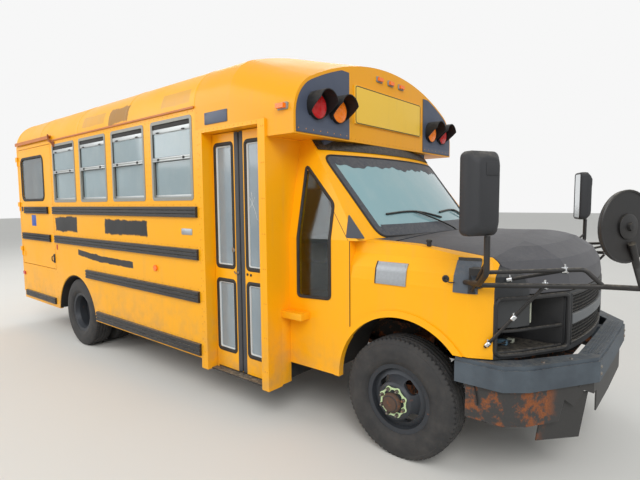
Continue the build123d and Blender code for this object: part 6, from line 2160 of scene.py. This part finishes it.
@dataclass
class FrontCapTrim:
    """Frame line of the blank sign, lamp holders and the feet of the lamp panels."""

    face: float = CAP_FACE_X

    def build(self) -> None:
        """Makes the sign's frame line, the holders of the small lamps and the feet of the lamp panels."""
        line, holders, panels = Surface(), Surface(), Surface()
        place = Place((self.face + 0.014, 0.0, 2.3625), Direction.FRONT)
        line.bead(place, rounded_outline(1.02, 0.275, 0.02), 0.007, 0.0016, 6)
        line.build("sign_frame_line", Resin.VISOR, "sign_yellow")
        for y in (-0.17, 0.0, 0.17):
            holders.plate(Place((self.face, y, 2.6085), Direction.FRONT), (0.086, 0.046, 0.01), 0.01, 0.003)
        for side, facing in SIDE_WAYS.items():
            place = Place((at(-0.735), side * 1.1905, 2.26), facing)
            holders.plate(place, (0.092, 0.048, 0.008), 0.012, 0.003, 0.004)
        holders.build("lamp_holders", Metal.SASH, "lamp_amber")
        for side in (-1, 1):
            outline = [(0.59, 2.096), (1.16, 2.096), (1.16, 2.14), (0.59, 2.14)]
            points = soft_polygon([(side * y, z) for y, z in outline], 0.006)
            panels.loft(np.stack([across_bus(CAP_PANEL_X + out, points) for out in (-0.001, 0.0018)]))
        panels.build("panel_feet", Resin.PANEL, "trim_blue_black")


@dataclass
class RearTrim:
    """Gaskets and handle of the emergency door."""

    face: float = REAR_FACE_X
    panes: tuple[tuple[float, float, float, float], ...] = (
        (-0.358, 1.06, 0.358, 1.52), (-0.358, 1.62, 0.358, 2.13))

    def build(self) -> None:
        """Makes the gaskets and the handle."""
        gasket, handle = Surface(), Surface()
        for y0, z0, y1, z1 in self.panes:
            place = Place((self.face, (y0 + y1) / 2, (z0 + z1) / 2), Direction.REAR)
            gasket.bead(place, rounded_outline(y1 - y0 + 0.008, z1 - z0 + 0.008, 0.04), 0.03, 0.008, 8)
        gasket.build("rear_glass_gaskets", Resin.GASKET, "rail_black", "rear_door")
        handle.turned(Place((self.face, 0.405, 1.0), Direction.REAR),
                      [(0.028, -0.001), (0.028, 0.006), (0.02, 0.01), (0.006, 0.011)], 24)
        lever = smooth_path([(self.face - 0.012, 0.405, 1.0), (self.face - 0.02, 0.36, 1.0),
                             (self.face - 0.02, 0.27, 0.996)], 8)
        handle.tube(lever, 0.0075, 10, ALONG_Z)
        handle.build("rear_door_handle", Metal.NUT, "body_yellow", "rear_door")


@dataclass
class StopArmTrim:
    """Pale border and two lamps of the stop arm."""

    middle: Point = (at(-1.73), 1.263, 1.385)
    half: float = 0.2199

    def build(self) -> None:
        """Makes the border and the lamps on the arm's outer face."""
        x, y, z = self.middle
        place = Place((x, y + 0.005, z), Direction.DRIVER)
        border = [(0.232, -0.0005), (0.232, 0.0012), (0.216, 0.0012), (0.216, -0.0005)]
        rings = place.put(rounds(border, 8, math.pi / 8)).transpose(1, 0, 2)
        Surface().closed(rings).build("stop_border", Paint.STOP_EDGE, "stop_red", "stop_arm", 20.0)
        lamps = Surface()
        for v in (-0.15, 0.15):
            middle = tuple(place.put(np.array([0.0, v, 0.0])))
            lamps.turned(Place(middle, Direction.DRIVER),
                         [(0.048, -0.001), (0.048, 0.01), (0.04, 0.018), (0.022, 0.024), (0.006, 0.026)], 32)
        lamps.build("stop_lamps", Pane.RED, "lamp_red", "stop_arm")


@dataclass
class Interior:
    """Mirror, rails, instrument hood and belts that show through the glass."""

    def build(self) -> None:
        """Makes the pieces inside the bus."""
        rails, belts = Surface(), Surface()
        for x in (at(-1.64), at(-1.7)):
            rails.tube(np.array([(x, -0.33, z) for z in np.linspace(0.842, 2.3, 12)]), 0.016, 12, ALONG_X)
        grab = [(at(-1.6), -1.06, 1.0), (at(-1.6), -0.96, 1.25), (at(-1.64), -0.7, 1.62),
                (at(-1.64), -0.33, 1.7)]
        rails.tube(smooth_path(grab, 10), 0.014, 12, ALONG_X)
        rails.build("grab_rails", Metal.NUT, "interior_grey")
        mirror = Surface().block((at(-0.79), -0.2, 1.905), (at(-0.765), 0.2, 1.99), 0.01)
        mirror.tube(np.array([(at(-0.78), 0.0, z) for z in (1.985, 2.01, 2.036)]), 0.008, 8, ALONG_X)
        mirror.build("inside_mirror", Resin.MIRROR_CASE, "mirror_dark")
        hood = Surface().block((at(-0.6), 0.27, 1.27), (at(-0.43), 0.64, 1.345), 0.03, 6)
        hood.build("instrument_hood", Resin.DASH, "interior_grey")
        for reach, side in Benches().rows:
            x = at(reach)
            for y in (0.44, 0.88):
                line = [(x - 0.045, side * y, 1.283), (x + 0.08, side * (y + 0.02), 1.3035),
                        (x + 0.23, side * (y - 0.01), 1.3045)]
                belts.tube(smooth_path(line, 8), 0.007, 8, ALONG_Z)
        belts.build("seat_belts", Resin.GASKET, "rail_black")


def dress_frame(frame: dict) -> None:
    """Gives every solid of the frame its finish.
    """
    for name, node in frame["nodes"].items():
        material = NODE_FINISHES[name].material()
        for slot in range(max(1, len(node.data.materials))):
            if slot < len(node.data.materials):
                node.data.materials[slot] = material
            else:
                node.data.materials.append(material)
        if name in ROUNDED_NODES:
            node.data.attributes.remove(node.data.attributes["custom_normal"])
            node.data.shade_smooth()
            node.data.set_sharp_from_angle(angle=math.radians(40.0))
        LOG.info("%s: %s", name, material.name)


def main() -> None:
    """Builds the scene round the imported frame."""
    logging.basicConfig(level=logging.INFO, format="%(message)s")
    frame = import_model()
    Viewpoint().build()
    Studio().build()
    dress_frame(frame)
    for assembly in (Tyres, Benches, WarningLamps, GrilleFace, WindowTrim, RivetRows, RoofStraps, EntryDoorTrim,
                     LiftDoorTrim, CabTrim, MirrorTrim, HeadLamps, BumperTrim, WheelHubs, ArchLiners, FrontCapTrim,
                     RearTrim, StopArmTrim, Interior):
        assembly().build()


if __name__ == "__main__":
    main()
